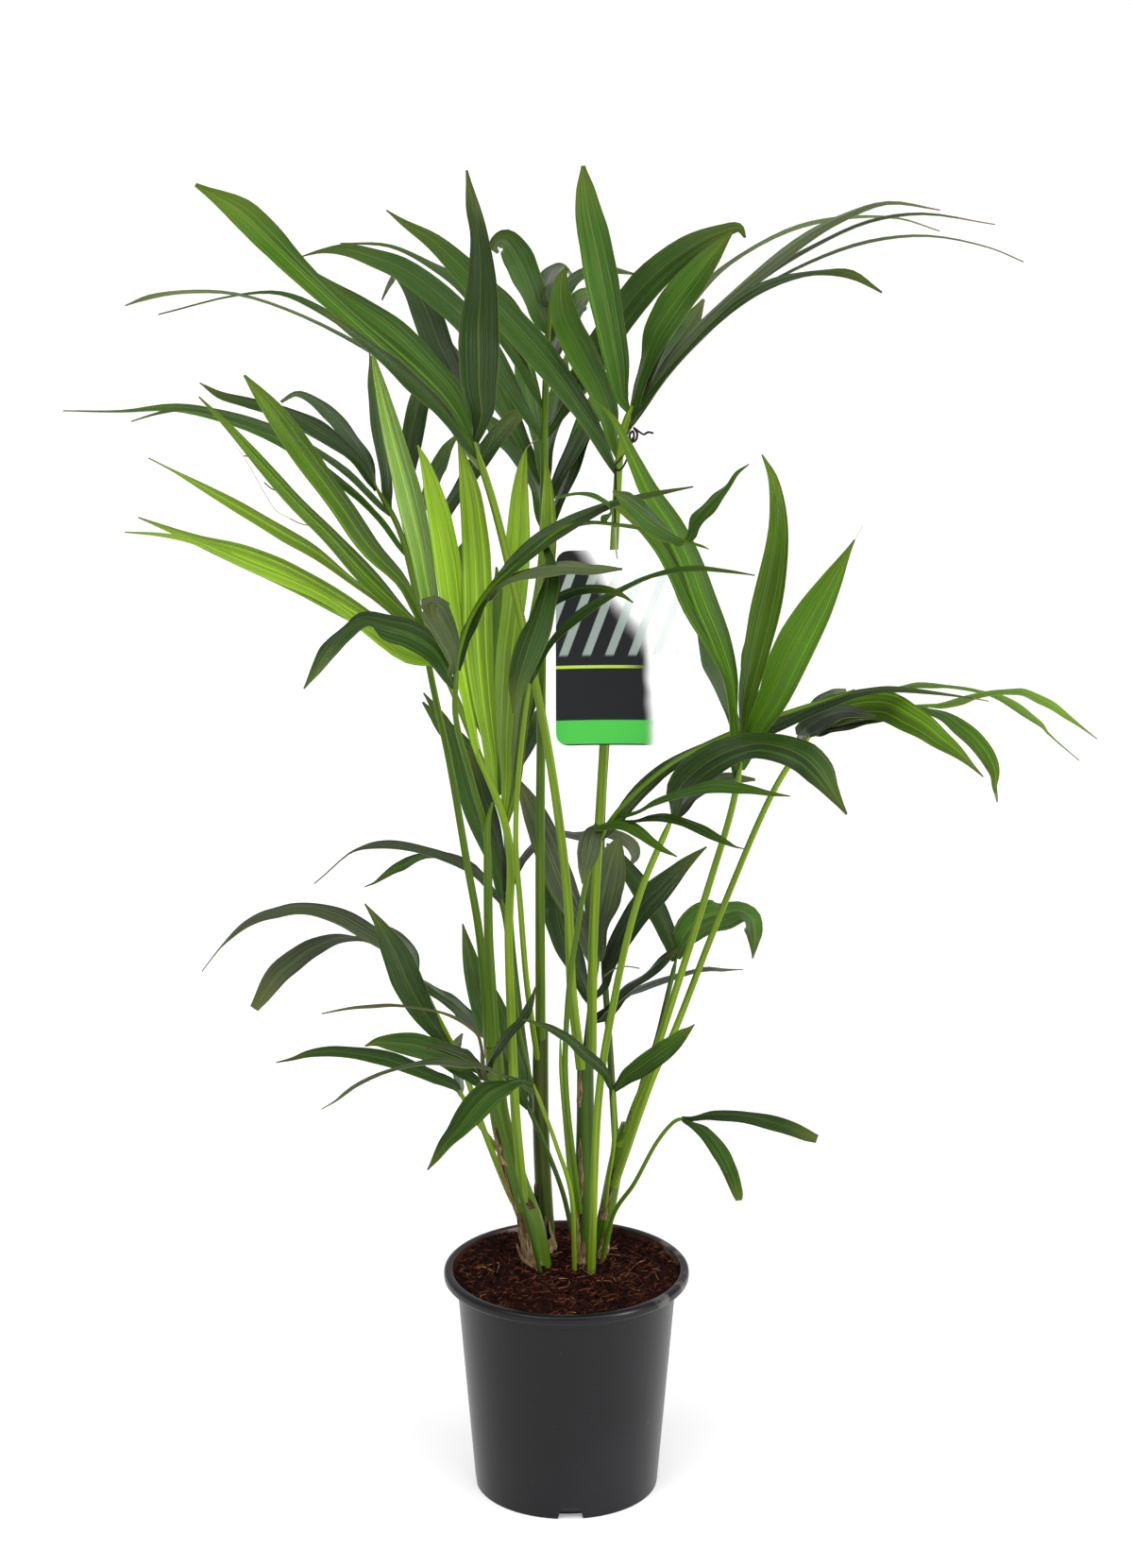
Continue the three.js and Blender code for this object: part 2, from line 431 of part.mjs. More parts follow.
        [-6, 470, 8], [-17, 476, 6.5], [-28, 480, 4], [-42, 484, 1.5]]],
      [2, -40, [[57, 425, 15], [68, 433, 19], [80, 442, 20], [92, 451, 20], [103, 460, 16],
        [112, 469, 11], [118, 474, 5], [123, 479, 1]]],
    ],
  },
  leaf_pair_right: {
    stalk: [[31, 214, 26], [45, 280, 18], [66, 315, 4], [86, 355, -8], [102, 377, -14],
      [113, 383, -16]],
    thick: [2.4, 1.8],
    broad: 20,
    leaflets: [
      [2, -60, [[122, 384, 5], [136, 386, 8], [151, 386, 10], [168, 385, 12], [185, 382, 13],
        [203, 377, 15], [220, 371, 14], [233, 365, 12], [243, 361, 8]]],
      [2, -110, [[120, 379, 5], [131, 371, 12], [142, 359, 15], [151, 345, 16], [158, 330, 15],
        [163, 316, 13], [167, 303, 10], [168, 297, 6]]],
    ],
  },
  frond_rear_high: {
    stalk: [[-25, 464, 59], [-25, 650, 120], [-24, 830, 170], [-22, 960, 230], [-20, 1010, 270]],
    thick: [4.2, 2.8],
    broad: 32,
    leaflets: [
      [5, 520, [[-40, 1050, 14], [-60, 1090, 24], [-72, 1122, 18], [-80, 1150, 2]]],
      [5, 560, [[-18, 1045, 14], [-10, 1080, 26], [-4, 1106, 18], [0, 1130, 2]]],
      [0, 540, [[-26, 1055, 14], [-34, 1095, 24], [-40, 1130, 18], [-45, 1160, 2]]],
      [30, 500, [[0, 1030, 14], [20, 1070, 24], [34, 1098, 16], [45, 1120, 2]]],
      [50, 480, [[-30, 1010, 12], [-50, 1045, 22], [-68, 1064, 16], [-85, 1080, 2]]],
      [60, 450, [[0, 1010, 12], [12, 1050, 20], [22, 1078, 14], [30, 1100, 2]]],
    ],
  },
  frond_rear_left: {
    stalk: [[-27, 360, 58], [-40, 450, 80], [-52, 560, 120], [-56, 650, 180], [-60, 710, 240]],
    thick: [3.6, 2.6],
    broad: 30,
    leaflets: [
      [0, 460, [[-75, 770, 14], [-92, 820, 24], [-108, 865, 18], [-120, 900, 2]]],
      [0, 500, [[-60, 780, 14], [-61, 840, 24], [-63, 890, 18], [-65, 930, 2]]],
      [5, 480, [[-45, 770, 14], [-33, 820, 24], [-26, 865, 18], [-20, 900, 2]]],
      [20, 380, [[-80, 735, 12], [-102, 762, 22], [-120, 782, 14], [-135, 800, 2]]],
      [20, 400, [[-48, 735, 12], [-38, 762, 22], [-28, 784, 14], [-20, 800, 2]]],
    ],
  },
  frond_rear_right: {
    stalk: [[48, 350, 50], [42, 450, 90], [35, 560, 150], [34, 680, 220], [40, 790, 280]],
    thick: [3.6, 2.6],
    broad: 30,
    leaflets: [
      [4, 500, [[30, 825, 14], [20, 855, 24], [12, 880, 16], [5, 900, 2]]],
      [12, 480, [[50, 830, 14], [62, 868, 24], [72, 892, 16], [80, 910, 2]]],
      [0, 540, [[42, 835, 14], [45, 875, 24], [45, 905, 16], [45, 930, 2]]],
      [10, 400, [[55, 808, 12], [70, 828, 22], [81, 841, 14], [90, 850, 2]]],
      [15, 410, [[28, 802, 12], [15, 818, 22], [7, 830, 14], [0, 840, 2]]],
    ],
  },
};

const YOUNG = ['frond_young_left', 'frond_right']; // the light green ones
const FLAT_ENOUGH = 0.2; // facets closer than this to one plane are joined

const TAG = { width: 114, height: 188, thick: 1.2, corner: 12, hole: 1.5, eyeDown: 7 };
const TAG_TOP = [47, 945]; // middle of the top edge, across and up
const TAG_BACK = 0;
const TIE_RADIUS = 1.1;
const TIE_DOWN = 74; // how far below the end of its rachis the tie is looped

// ---------------------------------------------------------------- solids

function solidOf(positions, triangles) {
  return new wasm.Manifold(new wasm.Mesh({
    numProp: 3,
    vertProperties: new Float32Array(positions),
    triVerts: new Uint32Array(triangles),
  }));
}

function solidOfGeometry(geometry) {
  const plain = geometry.clone();
  plain.deleteAttribute('normal');
  plain.deleteAttribute('uv');
  const welded = mergeVertices(plain, 1e-3);
  return solidOf(welded.attributes.position.array, welded.index.array);
}

// A closed skin over a row of rings, which all have the same number of points.
function loft(rings) {
  const sides = rings[0].length;
  const positions = rings.flat().flatMap((point) => point.toArray());
  const triangles = [];
  for (let ring = 0; ring + 1 < rings.length; ring += 1) {
    for (let side = 0; side < sides; side += 1) {
      const here = ring * sides + side;
      const next = ring * sides + ((side + 1) % sides);
      triangles.push(here, next, next + sides, here, next + sides, here + sides);
    }
  }
  const last = (rings.length - 1) * sides;
  for (let side = 1; side + 1 < sides; side += 1) {
    triangles.push(0, side + 1, side, last, last + side, last + side + 1);
  }
  return solidOf(positions, triangles);
}

// Frames along a curve: at each step its middle, its direction, and an across vector that
// starts sideways and is carried along without twisting.
function framesAlong(curve, steps) {
  const frames = Array.from({ length: steps + 1 }, (_, step) => {
    const at = step / steps;
    return { at, middle: curve.getPoint(at), along: curve.getTangent(at) };
  });
  frames[0].across = sideways(frames[0]);
  for (let step = 1; step <= steps; step += 1) {
    const last = frames[step - 1].across;
    const { along } = frames[step];
    frames[step].across = last.clone().addScaledVector(along, -last.dot(along)).normalize();
  }
  return frames;
}

function ringRound(frame, radius, sides) {
  const other = new THREE.Vector3().crossVectors(frame.along, frame.across);
  return Array.from({ length: sides }, (_, side) => {
    const turn = (2 * Math.PI * side) / sides;
    return frame.middle.clone()
      .addScaledVector(frame.across, radius * Math.cos(turn))
      .addScaledVector(other, radius * Math.sin(turn));
  });
}

function sideways({ along }) {
  return new THREE.Vector3(1, 0, 0).addScaledVector(along, -along.x).normalize();
}

// A round stalk whose radius follows radiusAt from 0 to 1 along the curve.
function stalkSolid(curve, radiusAt, steps, sides) {
  const frames = framesAlong(curve, steps);
  return loft(frames.map((frame) => ringRound(frame, radiusAt(frame.at), sides)));
}

const smoothLine = (points) => new THREE.CatmullRomCurve3(points, false, 'catmullrom', 0.5);

// ---------------------------------------------------------------- stems

// One ring at each point, or with swell the same stem grown by that much on all sides.
function stemSolid(points, swell = 0) {
  const curve = smoothLine(points.map(([across, up, back]) => place(across, up, back)));
  const frames = framesAlong(curve, points.length - 1);
  frames[0].middle.addScaledVector(frames[0].along, -swell);
  frames.at(-1).middle.addScaledVector(frames.at(-1).along, swell);
  return loft(frames.map((frame, ring) => ringRound(frame, points[ring][3] + swell, STEM_SIDES)));
}

// ---------------------------------------------------------------- leaflets and fronds

// Half width of a leaflet along its length, as a share of its greatest half width.
const bladeShare = (at) => Math.sin(Math.PI * (0.05 + 0.95 * at) ** 0.92);

// A leaflet's middle line as knots in space, each with its share of the way from root to
// tip and the width seen there. Depth changes evenly with the way made in elevation.
function knotsOf(root, back, points) {
  const stretch = 1 - root.y / EYE.y;
  const flat = [[root.x / stretch, EYE.z + (root.z - EYE.z) / stretch, LEAF_ROOT], ...points];
  const way = [0];
  for (let number = 1; number < flat.length; number += 1) {
    const [across, up] = flat[number];
    way.push(way[number - 1] + Math.hypot(across - flat[number - 1][0], up - flat[number - 1][1]));
  }
  return flat.map(([across, up, seen], number) => {
    const at = way[number] / way.at(-1);
    return { at, seen, middle: place(across, up, THREE.MathUtils.lerp(root.y, back, at)) };
  });
}

// Rows along a leaflet, two for each knot where the knots are few. To the eye a blade lies
// level with the view where all of its width is seen, and leans away where it isn't.
function rowsOf(knots) {
  const curve = new THREE.CatmullRomCurve3(knots.map((knot) => knot.middle), false, 'centripetal');
  const each = knots.length < 6 ? 2 : 1;
  const steps = each * (knots.length - 1);
  return Array.from({ length: steps + 1 }, (_, step) => {
    const before = knots[Math.floor(step / each)];
    const after = knots[Math.ceil(step / each)];
    const middle = curve.getPoint(step / steps);
    const along = curve.getTangent(step / steps);
    const sight = middle.clone().sub(EYE).normalize();
    const level = new THREE.Vector3().crossVectors(along, sight).normalize();
    const away = sight.addScaledVector(along, -sight.dot(along)).normalize();
    const at = (before.at + after.at) / 2;
    return { at, seen: (before.seen + after.seen) / 2, middle, along, level, away };
  });
}

function leafletSolid(root, back, points, broad) {
  const rows = rowsOf(knotsOf(root, back, points));
  const skyward = rows[Math.floor(0.3 * rows.length)].level.z < 0 ? -1 : 1;
  return loft(rows.map(({ at, seen, middle, along, level, away }) => {
    const wide = Math.max(LEAF_LEAST, seen, Math.min(broad * bladeShare(at), 4 * seen));
    const shown = Math.min(1, seen / wide);
    const lean = skyward * Math.sqrt(1 - shown ** 2);
    const across = level.multiplyScalar(shown).addScaledVector(away, lean);
    const ridge = new THREE.Vector3().crossVectors(along, across);
    const half = wide / 2;
    const thick = LEAF_THICK * Math.min(1, 0.33 + 2.7 * (1 - at));
    return [
      middle.clone().addScaledVector(across, -half).addScaledVector(ridge, -thick / 3),
      middle.clone().addScaledVector(across, half).addScaledVector(ridge, -thick / 3),
      middle.clone().addScaledVector(ridge, (2 * thick) / 3),
    ];
  }));
}

function frondSolid({ stalk, thick, broad, leaflets }) {
  const curve = smoothLine(stalk.map(([across, up, back]) => place(across, up, back)));
  const length = curve.getLength();
  const steps = Math.ceil(1.3 * (stalk.length - 1));
  const radiusAt = (at) => THREE.MathUtils.lerp(thick[0], thick[1], at);
  let solid = stalkSolid(curve, radiusAt, steps, STALK_SIDES);
  for (const [down, back, points] of leaflets) {
    solid = solid.add(leafletSolid(curve.getPointAt(1 - down / length), back, points, broad));
  }
  return solid;
}

// ---------------------------------------------------------------- pot and potting mix

function turned(profile) {
  return new THREE.LatheGeometry(profile.map(([radius, up]) => new THREE.Vector2(radius, up)), ROUND)
    .rotateX(Math.PI / 2);
}

const wallRadius = (up) => THREE.MathUtils.lerp(POT.footRadius, POT.neckRadius, up / POT.neckHeight);

function potSolid() {
  const lipFoot = POT.height - POT.lip;
  const roll = 4; // radius of the lip's rounded edge
  const profile = [
    [0, 0],
    [POT.seat, 0],
    [POT.seat + 3, POT.channel],
    [POT.footRadius - POT.footWall, POT.channel],
    [POT.footRadius - POT.footWall + 1, 0],
    [POT.footRadius, 0],
    [wallRadius(POT.channel), POT.channel],
    [wallRadius(lipFoot - 3), lipFoot - 3],
    [POT.neckRadius + 3, lipFoot],
    [POT.rimRadius - 2, lipFoot],
    [POT.rimRadius, lipFoot + roll],
    [POT.rimRadius, POT.height - roll],
    [POT.rimRadius - roll, POT.height],
    [POT.rimInner + 2, POT.height],
    [POT.rimInner, POT.height - roll],
    [wallRadius(lipFoot) - POT.wall + 0.8, lipFoot - 1],
    [wallRadius(lipFoot - 12) - POT.wall, lipFoot - 12],
    [wallRadius(POT.floorTop) - POT.wall, POT.floorTop],
    [0, POT.floorTop],
  ];
  let pot = solidOfGeometry(turned(profile));
  for (let notch = 0; notch < POT.notches; notch += 1) {
    const cut = new THREE.BoxGeometry(POT.notchWidth, 2 * POT.footWall + 6, 2 * (POT.channel - 0.5))
      .translate(0, -POT.footRadius + 1, 0)
      .rotateZ((2 * Math.PI * notch) / POT.notches + THREE.MathUtils.degToRad(POT.notchTurn));
    pot = pot.subtract(solidOfGeometry(cut));
  }
  return pot;
}

// The potting mix, or with swell the same shape grown by that much.
function soilSolid(swell) {
  const inner = (up) => wallRadius(up) - POT.wall - CLEAR + swell;
  const bottom = POT.floorTop + CLEAR - swell;
  const shoulder = POT.height - POT.lip - 13;
  return solidOfGeometry(turned([
    [0, bottom],
    [inner(POT.floorTop), bottom],
    [inner(shoulder), shoulder],
    [inner(SOIL_EDGE - 6), SOIL_EDGE - 6],
    [POT.rimInner - 5.2 + swell, SOIL_EDGE + swell],
    [SOIL_LEVEL_RADIUS, SOIL_TOP + swell],
    [0, SOIL_TOP + swell],
  ]));
}

// ---------------------------------------------------------------- tag and its tie

function tagSolid() {
  const { width, height, thick, corner, hole, eyeDown } = TAG;
  const outline = new THREE.Shape();
  const half = width / 2;
  outline.moveTo(-half + corner, -height);
  outline.lineTo(half - corner, -height);
  outline.absarc(half - corner, -height + corner, corner, -Math.PI / 2, 0);
  outline.absarc(half - corner, -corner, corner, 0, Math.PI / 2);
  outline.absarc(-half + corner, -corner, corner, Math.PI / 2, Math.PI);
  outline.absarc(-half + corner, -height + corner, corner, Math.PI, 1.5 * Math.PI);
  const eye = new THREE.Path();
  eye.absarc(0, -eyeDown, hole, 0, 2 * Math.PI, true);
  outline.holes.push(eye);
  const top = place(...TAG_TOP, TAG_BACK);
  const card = new THREE.ExtrudeGeometry(outline, { depth: thick, bevelEnabled: false, curveSegments: 4 })
    .rotateX(Math.PI / 2)
    .translate(top.x, top.y + thick, top.z);
  return solidOfGeometry(card);
}

// A turn of wire round the stalk, then a strand down to the tag and through its eye.
function tieSolid({ stalk, thick }) {
  const curve = smoothLine(stalk.map(([across, up, back]) => place(across, up, back)));
  const at = 1 - TIE_DOWN / curve.getLength();
  const middle = curve.getPointAt(at);
  const along = curve.getTangentAt(at);
  const across = sideways({ along });
  const other = new THREE.Vector3().crossVectors(along, across);
  const reach = THREE.MathUtils.lerp(thick[0], thick[1], at) + CLEAR + TIE_RADIUS + 0.3;
  const corners = 10;
  const path = [];
  for (let corner = 0; corner <= corners; corner += 1) {
    const turn = (2 * Math.PI * corner) / corners - Math.PI / 2;
    path.push(middle.clone()
      .addScaledVector(across, reach * Math.cos(turn))
      .addScaledVector(other, reach * Math.sin(turn))
      .addScaledVector(along, -4 * TIE_RADIUS * (corner / corners)));
  }
  const eye = place(...TAG_TOP, TAG_BACK).add(new THREE.Vector3(0, 0, -TAG.eyeDown));
  path.push(new THREE.Vector3(eye.x, eye.y - 4, eye.z + 30));
  path.push(new THREE.Vector3(eye.x, eye.y - 3, eye.z + 6));
  path.push(new THREE.Vector3(eye.x, eye.y - 2, eye.z));
  path.push(new THREE.Vector3(eye.x, eye.y + TAG.thick + 1.5, eye.z));
  return stalkSolid(smoothLine(path), () => TIE_RADIUS, path.length - 1, STALK_SIDES);
}

// ---------------------------------------------------------------- the whole plant

const COLOURS = {
  pot: [0x2b2c2f, 0.55],
  soil: [0x33190f, 0.95],
  stem: [0x5f8a2a, 0.6],
  dark: [0x3f5a2c, 0.5],
  bright: [0x7fb32e, 0.5],
  tag: [0x22242a, 0.5],
  tie: [0x1a1a1a, 0.5],
};

const palm = new THREE.Group();

function addNode(name, solid, colour) {
  const mesh = solid.getMesh();
  const geometry = new THREE.BufferGeometry();
  geometry.setAttribute('position', new THREE.BufferAttribute(mesh.vertProperties, 3));
  geometry.setIndex(new THREE.BufferAttribute(mesh.triVerts, 1));
  geometry.computeVertexNormals();
  const [color, roughness] = COLOURS[colour];
  const material = new THREE.MeshStandardMaterial({ color, roughness, metalness: 0 });
  const node = new THREE.Mesh(geometry, material);
  node.name = name;
  palm.add(node);
}

// What is left of a solid after a cut, without its loose scraps.
function largestPiece(solid) {
  return solid.decompose().reduce((most, piece) => (piece.volume() > most.volume() ? piece : most));
}

addNode('pot', potSolid(), 'pot');
addNode('soil', soilSolid(0), 'soil');

let carriers = soilSolid(CLEAR);
for (const [name, points] of Object.entries(STEMS)) {
  addNode(name, largestPiece(stemSolid(points).subtract(carriers)), 'stem');
  carriers = carriers.add(stemSolid(points, CLEAR));
}

for (const [name, frond] of Object.entries(FRONDS)) {
  const solid = largestPiece(frondSolid(frond).subtract(carriers).simplify(FLAT_ENOUGH));
  addNode(name, solid, YOUNG.includes(name) ? 'bright' : 'dark');
}

const tied = FRONDS.frond_high_right;
const tiedGrown = frondSolid({ ...tied, thick: tied.thick.map((radius) => radius + CLEAR) });
addNode('tag', tagSolid(), 'tag');
addNode('tag_tie', largestPiece(tieSolid(tied).subtract(tiedGrown)), 'tie');

export default palm;
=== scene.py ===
# %% [markdown]
# # A kentia palm in its nursery pot
# A grower raises kentia palms as a clump: four or five seedlings share one pot, so that
# the sparse fronds of each fill the gaps of the others. This lesson dresses a packed
# solid model of such a clump. Each node of that model keeps its place, and a finer
# mesh of the same piece takes over what the eye sees.

# %% The solid model
import math

import bpy
import numpy as np
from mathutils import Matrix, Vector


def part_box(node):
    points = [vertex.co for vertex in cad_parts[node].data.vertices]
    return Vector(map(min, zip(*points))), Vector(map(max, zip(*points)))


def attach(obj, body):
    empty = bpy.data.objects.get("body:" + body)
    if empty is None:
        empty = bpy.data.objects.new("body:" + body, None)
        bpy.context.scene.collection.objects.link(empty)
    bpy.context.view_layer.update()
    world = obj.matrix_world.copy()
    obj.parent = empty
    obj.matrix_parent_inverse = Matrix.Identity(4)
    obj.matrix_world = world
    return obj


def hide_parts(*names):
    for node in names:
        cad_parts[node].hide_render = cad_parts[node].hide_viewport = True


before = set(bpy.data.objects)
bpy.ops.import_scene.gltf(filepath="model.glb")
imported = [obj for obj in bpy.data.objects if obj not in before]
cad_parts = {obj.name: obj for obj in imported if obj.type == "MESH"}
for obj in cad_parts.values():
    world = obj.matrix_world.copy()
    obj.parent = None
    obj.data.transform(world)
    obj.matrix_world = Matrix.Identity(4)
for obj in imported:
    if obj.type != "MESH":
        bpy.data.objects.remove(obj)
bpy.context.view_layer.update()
dice = np.random.default_rng(11)
print("solid nodes:", len(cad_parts))

# %% [markdown]
# ## Eye and light
# A plant portrait is taken from a few metres away with a long lens, so that near leaves
# don't swell. The camera looks down a little, which shows the potting mix. The room is a
# white studio: some of the light comes evenly from all round, the rest from two broad
# lamps high up on the left and right, so that shadows on the floor are hardly seen. One
# narrow box on the right draws an upright highlight on the pot, and casts no shadow of
# its own. A small one lights the crown.

# %% Camera
EYE = np.array([0.0, -3545.0, 1770.0])  # millimetres


def put(name, data):
    """A new object in the scene, for a mesh, a lamp or a camera."""
    obj = bpy.data.objects.new(name, data)
    bpy.context.scene.collection.objects.link(obj)
    return obj


lens = bpy.data.cameras.new("camera")
lens.lens = 90
lens.clip_end = 200
camera = put("camera", lens)
camera.location = EYE / 1000
camera.rotation_euler = (math.radians(73.5), 0, 0)
bpy.context.scene.camera = camera
bpy.context.scene.view_settings.view_transform = "Standard"
print("eye, in metres:", list(camera.location))

# %% Room light
WHITE = (1, 1, 1, 1)
room = bpy.data.worlds.new("white room")
room.use_nodes = True
background = room.node_tree.nodes["Background"]
background.inputs["Color"].default_value = WHITE
background.inputs["Strength"].default_value = 0.6
bpy.context.scene.world = room


def lamp(name, kind, place, target, power, **settings):
    """A lamp at one place that faces another."""
    light = bpy.data.lights.new(name, kind)
    light.energy = power
    for setting, value in settings.items():
        setattr(light, setting, value)
    obj = put(name, light)
    obj.location = place
    aim = np.array(target, float) - np.array(place, float)
    turn = math.atan2(aim[0], -aim[1])
    drop = math.acos(-aim[2] / np.linalg.norm(aim))
    obj.rotation_euler = (drop, 0, math.pi + turn)


lamp("sky left", "SUN", (-1.7, -1.9, 4.2), (0, 0, 0.5), 0.95, angle=math.radians(50))
lamp("sky right", "SUN", (1.9, -1.5, 4.2), (0, 0, 0.5), 0.95, angle=math.radians(50))
lamp("strip box", "AREA", (2.5, -1.7, 1.3), (0, 0, 0.4), 60,
     shape="RECTANGLE", size=0.16, size_y=1.8, use_shadow=False)
lamp("crown box", "AREA", (-1.5, -2.3, 2.6), (0, 0, 1.0), 12,
     shape="RECTANGLE", size=0.35, size_y=0.35)
print("lamps:", len(bpy.data.lights))

# %% [markdown]
# ## Finishes from plain arithmetic
# A finish is a small sum: so much of one colour where a mask is high, more of another
# where it is low. Written as nodes that sum is long, so one class lets Python's own signs
# stand for the Math nodes, and one method makes every other node.

# %% Sockets that can be reckoned with
class Wire:
    """The output socket of a node in a finish."""

    def __init__(self, finish, socket):
        self.finish = finish
        self.socket = socket

    def other(self, name):
        """Another output of the same node."""
        return Wire(self.finish, self.socket.node.outputs[name])

    def maths(self, operation, *terms):
        return self.finish.node("Math", {"operation": operation}, dict(enumerate(terms)))

    def __add__(self, term):
        return self.maths("ADD", self, term)

    def __radd__(self, term):
        return self.maths("ADD", term, self)

    def __sub__(self, term):
        return self.maths("SUBTRACT", self, term)

    def __rsub__(self, term):
        return self.maths("SUBTRACT", term, self)

    def __mul__(self, term):
        return self.maths("MULTIPLY", self, term)

    def __rmul__(self, term):
        return self.maths("MULTIPLY", term, self)

    def __abs__(self):
        return self.maths("ABSOLUTE", self)


class Finish:
    """One material: a Principled shader and the nodes that feed it."""

    def __init__(self, name, uniform=None):
        self.material = bpy.data.materials.new(name)
        self.material.use_nodes = True
        self.tree = self.material.node_tree
        self.shader = self.tree.nodes["Principled BSDF"]
        for socket, value in (uniform or {}).items():
            self.shader.inputs[socket].default_value = value

    def node(self, kind, settings=None, sockets=None):
        """A node with its settings, then the values or wires of its sockets."""
        node = self.tree.nodes.new("ShaderNode" + kind)
        for setting, value in (settings or {}).items():
            setattr(node, setting, value)
        for socket, value in (sockets or {}).items():
            self.feed(node.inputs[socket], value)
        return Wire(self, node.outputs[0])

    def feed(self, socket, value):
        if isinstance(value, Wire):
            self.tree.links.new(value.socket, socket)
        else:
            socket.default_value = value

    def blend(self, factor, first, second):
        """A mix of two colours."""
        mixed = self.node("Mix", {"data_type": "RGBA"}, {0: factor, 6: first, 7: second})
        return Wire(self, mixed.socket.node.outputs[2])

    def step(self, value, low, high):
        """0 below low, 1 above high, with a smooth rise between."""
        return self.node("MapRange", {"interpolation_type": "SMOOTHSTEP"},
                         {"Value": value, "From Min": low, "From Max": high})

    def grain(self, vector, scale, detail=2.0):
        """Cloudy noise round 0.5."""
        return self.node("TexNoise", None, {"Vector": vector, "Scale": scale, "Detail": detail})

    def wave(self, value):
        """Up and down between 0 and 1, once for each step of 1 in the value."""
        return self.node("Math", {"operation": "SINE"}, {0: value * (2 * math.pi)}) * 0.5 + 0.5

    def join(self, across, along):
        return self.node("CombineXYZ", None, {0: across, 1: along, 2: 0.0})

    def marks(self, layer):
        """The first mark of a UV layer. The second is its other("Y")."""
        return self.node("SeparateXYZ", None, {0: self.node("UVMap", {"uv_map": layer})})

    def spot(self):
        """Where a point is on the object."""
        return self.node("TexCoord").other("Object")

    def wear(self, colour, roughness=None, height=None, depth=0.0, strength=0.0):
        """Feeds the shader with what varies over the surface. depth is the height's metres."""
        self.feed(self.shader.inputs["Base Color"], colour)
        if height is not None:
            bump = self.node("Bump", None, {"Height": height, "Distance": depth, "Strength": strength})
            self.feed(self.shader.inputs["Roughness"], roughness)
            self.feed(self.shader.inputs["Normal"], bump)
        return self.material


def paint(code, share=1.0):
    """A colour from its usual hex code, as the linear numbers that shaders want."""
    parts = [int(code[at:at + 2], 16) / 255 for at in (0, 2, 4)]
    return tuple(share * part ** 2.2 for part in parts) + (1.0,)


print("a mid green as linear numbers:", [round(part, 3) for part in paint("3c5c1b")])

# %% [markdown]
# ## The floor
# A studio floor runs on without an edge, so that the pot seems to stand in plain white. A
# plane far wider than the view does that. It only carries the soft shadow of the pot, and
# is staged, which means that it belongs to the room and not to the plant.

# %% Floor
FAR = 60  # metres, so that no edge of the floor is seen
floor_finish = Finish("pale floor", {"Roughness": 0.9, "Base Color": (0.95, 0.95, 0.95, 1),
                                     "Emission Color": WHITE, "Emission Strength": 0.09})
floor_mesh = bpy.data.meshes.new("floor")
floor_mesh.from_pydata([(-FAR, -FAR, 0), (FAR, -FAR, 0), (FAR, FAR, 0), (-FAR, FAR, 0)],
                       [], [(0, 1, 2, 3)])
floor_mesh.materials.append(floor_finish.material)
put("floor", floor_mesh)
print("the floor glows a little, like a light table, so that it comes out as white as the room")

# %% [markdown]
# ## Lofts
# Stalks, stems, leaflets and fibres are all the same kind of shape: a row of rings along
# a line. A bevelled curve could give the round ones, but a leaflet's ring changes from a
# folded strip to a flat one, so every piece is lofted from rings worked out with numpy,
# and pieces of one kind are gathered in a heap that becomes a single mesh. Two UV layers
# tell a finish where it is: "blade" runs on from piece to piece, so that no two get the
# same veins, and "leaf" says how far along its own piece a point is, and how light it is.

# %% A heap of lofts
class Heap:
    """Closed shapes of one kind, gathered and then made into one mesh."""

    def __init__(self, name, finishes):
        self.name = name
        self.finishes = finishes
        self.points = []
        self.marks = {"blade": [], "leaf": []}
        self.faces = []
        self.slots = []
        self.count = 0

    def loft(self, rings, blade, slots, leaf=(0.5, 0.5)):
        """A skin over rings (row, side, xyz), with marks for each point.

        slots has one finish number for each face, by row and side, or one for all."""
        rows, sides = rings.shape[:2]
        number = self.count + np.arange(rows * sides).reshape(rows, sides)
        right = np.roll(number, -1, axis=1)
        quads = np.stack([number[:-1], right[:-1], right[1:], number[1:]], axis=-1).reshape(-1, 4)
        self.faces.extend(quads.tolist())
        self.faces.append(number[0, ::-1].tolist())
        self.faces.append(number[-1].tolist())
        table = np.broadcast_to(slots, (rows - 1, sides))
        self.slots.extend(table.reshape(-1).tolist())
        self.slots.extend([int(table[0, 0]), int(table[-1, 0])])
        self.points.append(rings.reshape(-1, 3))
        for layer, marks in (("blade", blade), ("leaf", leaf)):
            self.marks[layer].append(np.broadcast_to(marks, (rows, sides, 2)).reshape(-1, 2))
        self.count += rows * sides

    def make(self, slot, nodes, smooth=50):
        """The mesh, riding on the root body in place of the nodes named."""
        mesh = bpy.data.meshes.new(self.name)
        mesh.from_pydata(np.concatenate(self.points), [], self.faces)
        for finish in self.finishes:
            mesh.materials.append(finish)
        mesh.polygons.foreach_set("material_index", self.slots)
        corner = np.zeros(len(mesh.loops), np.int32)
        mesh.loops.foreach_get("vertex_index", corner)
        for name, marks in self.marks.items():
            layer = mesh.uv_layers.new(name=name)
            layer.data.foreach_set("uv", np.concatenate(marks)[corner].astype(np.float32).ravel())
        mesh.shade_smooth()
        mesh.set_sharp_from_angle(angle=math.radians(smooth))
        piece = put(self.name, mesh)
        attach(piece, "root")
        if nodes:
            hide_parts(*nodes)
        triangles = sum(len(face) - 2 for face in self.faces)
        print(f"{self.name}: {triangles} triangles")
        return piece


print("a heap becomes one mesh")

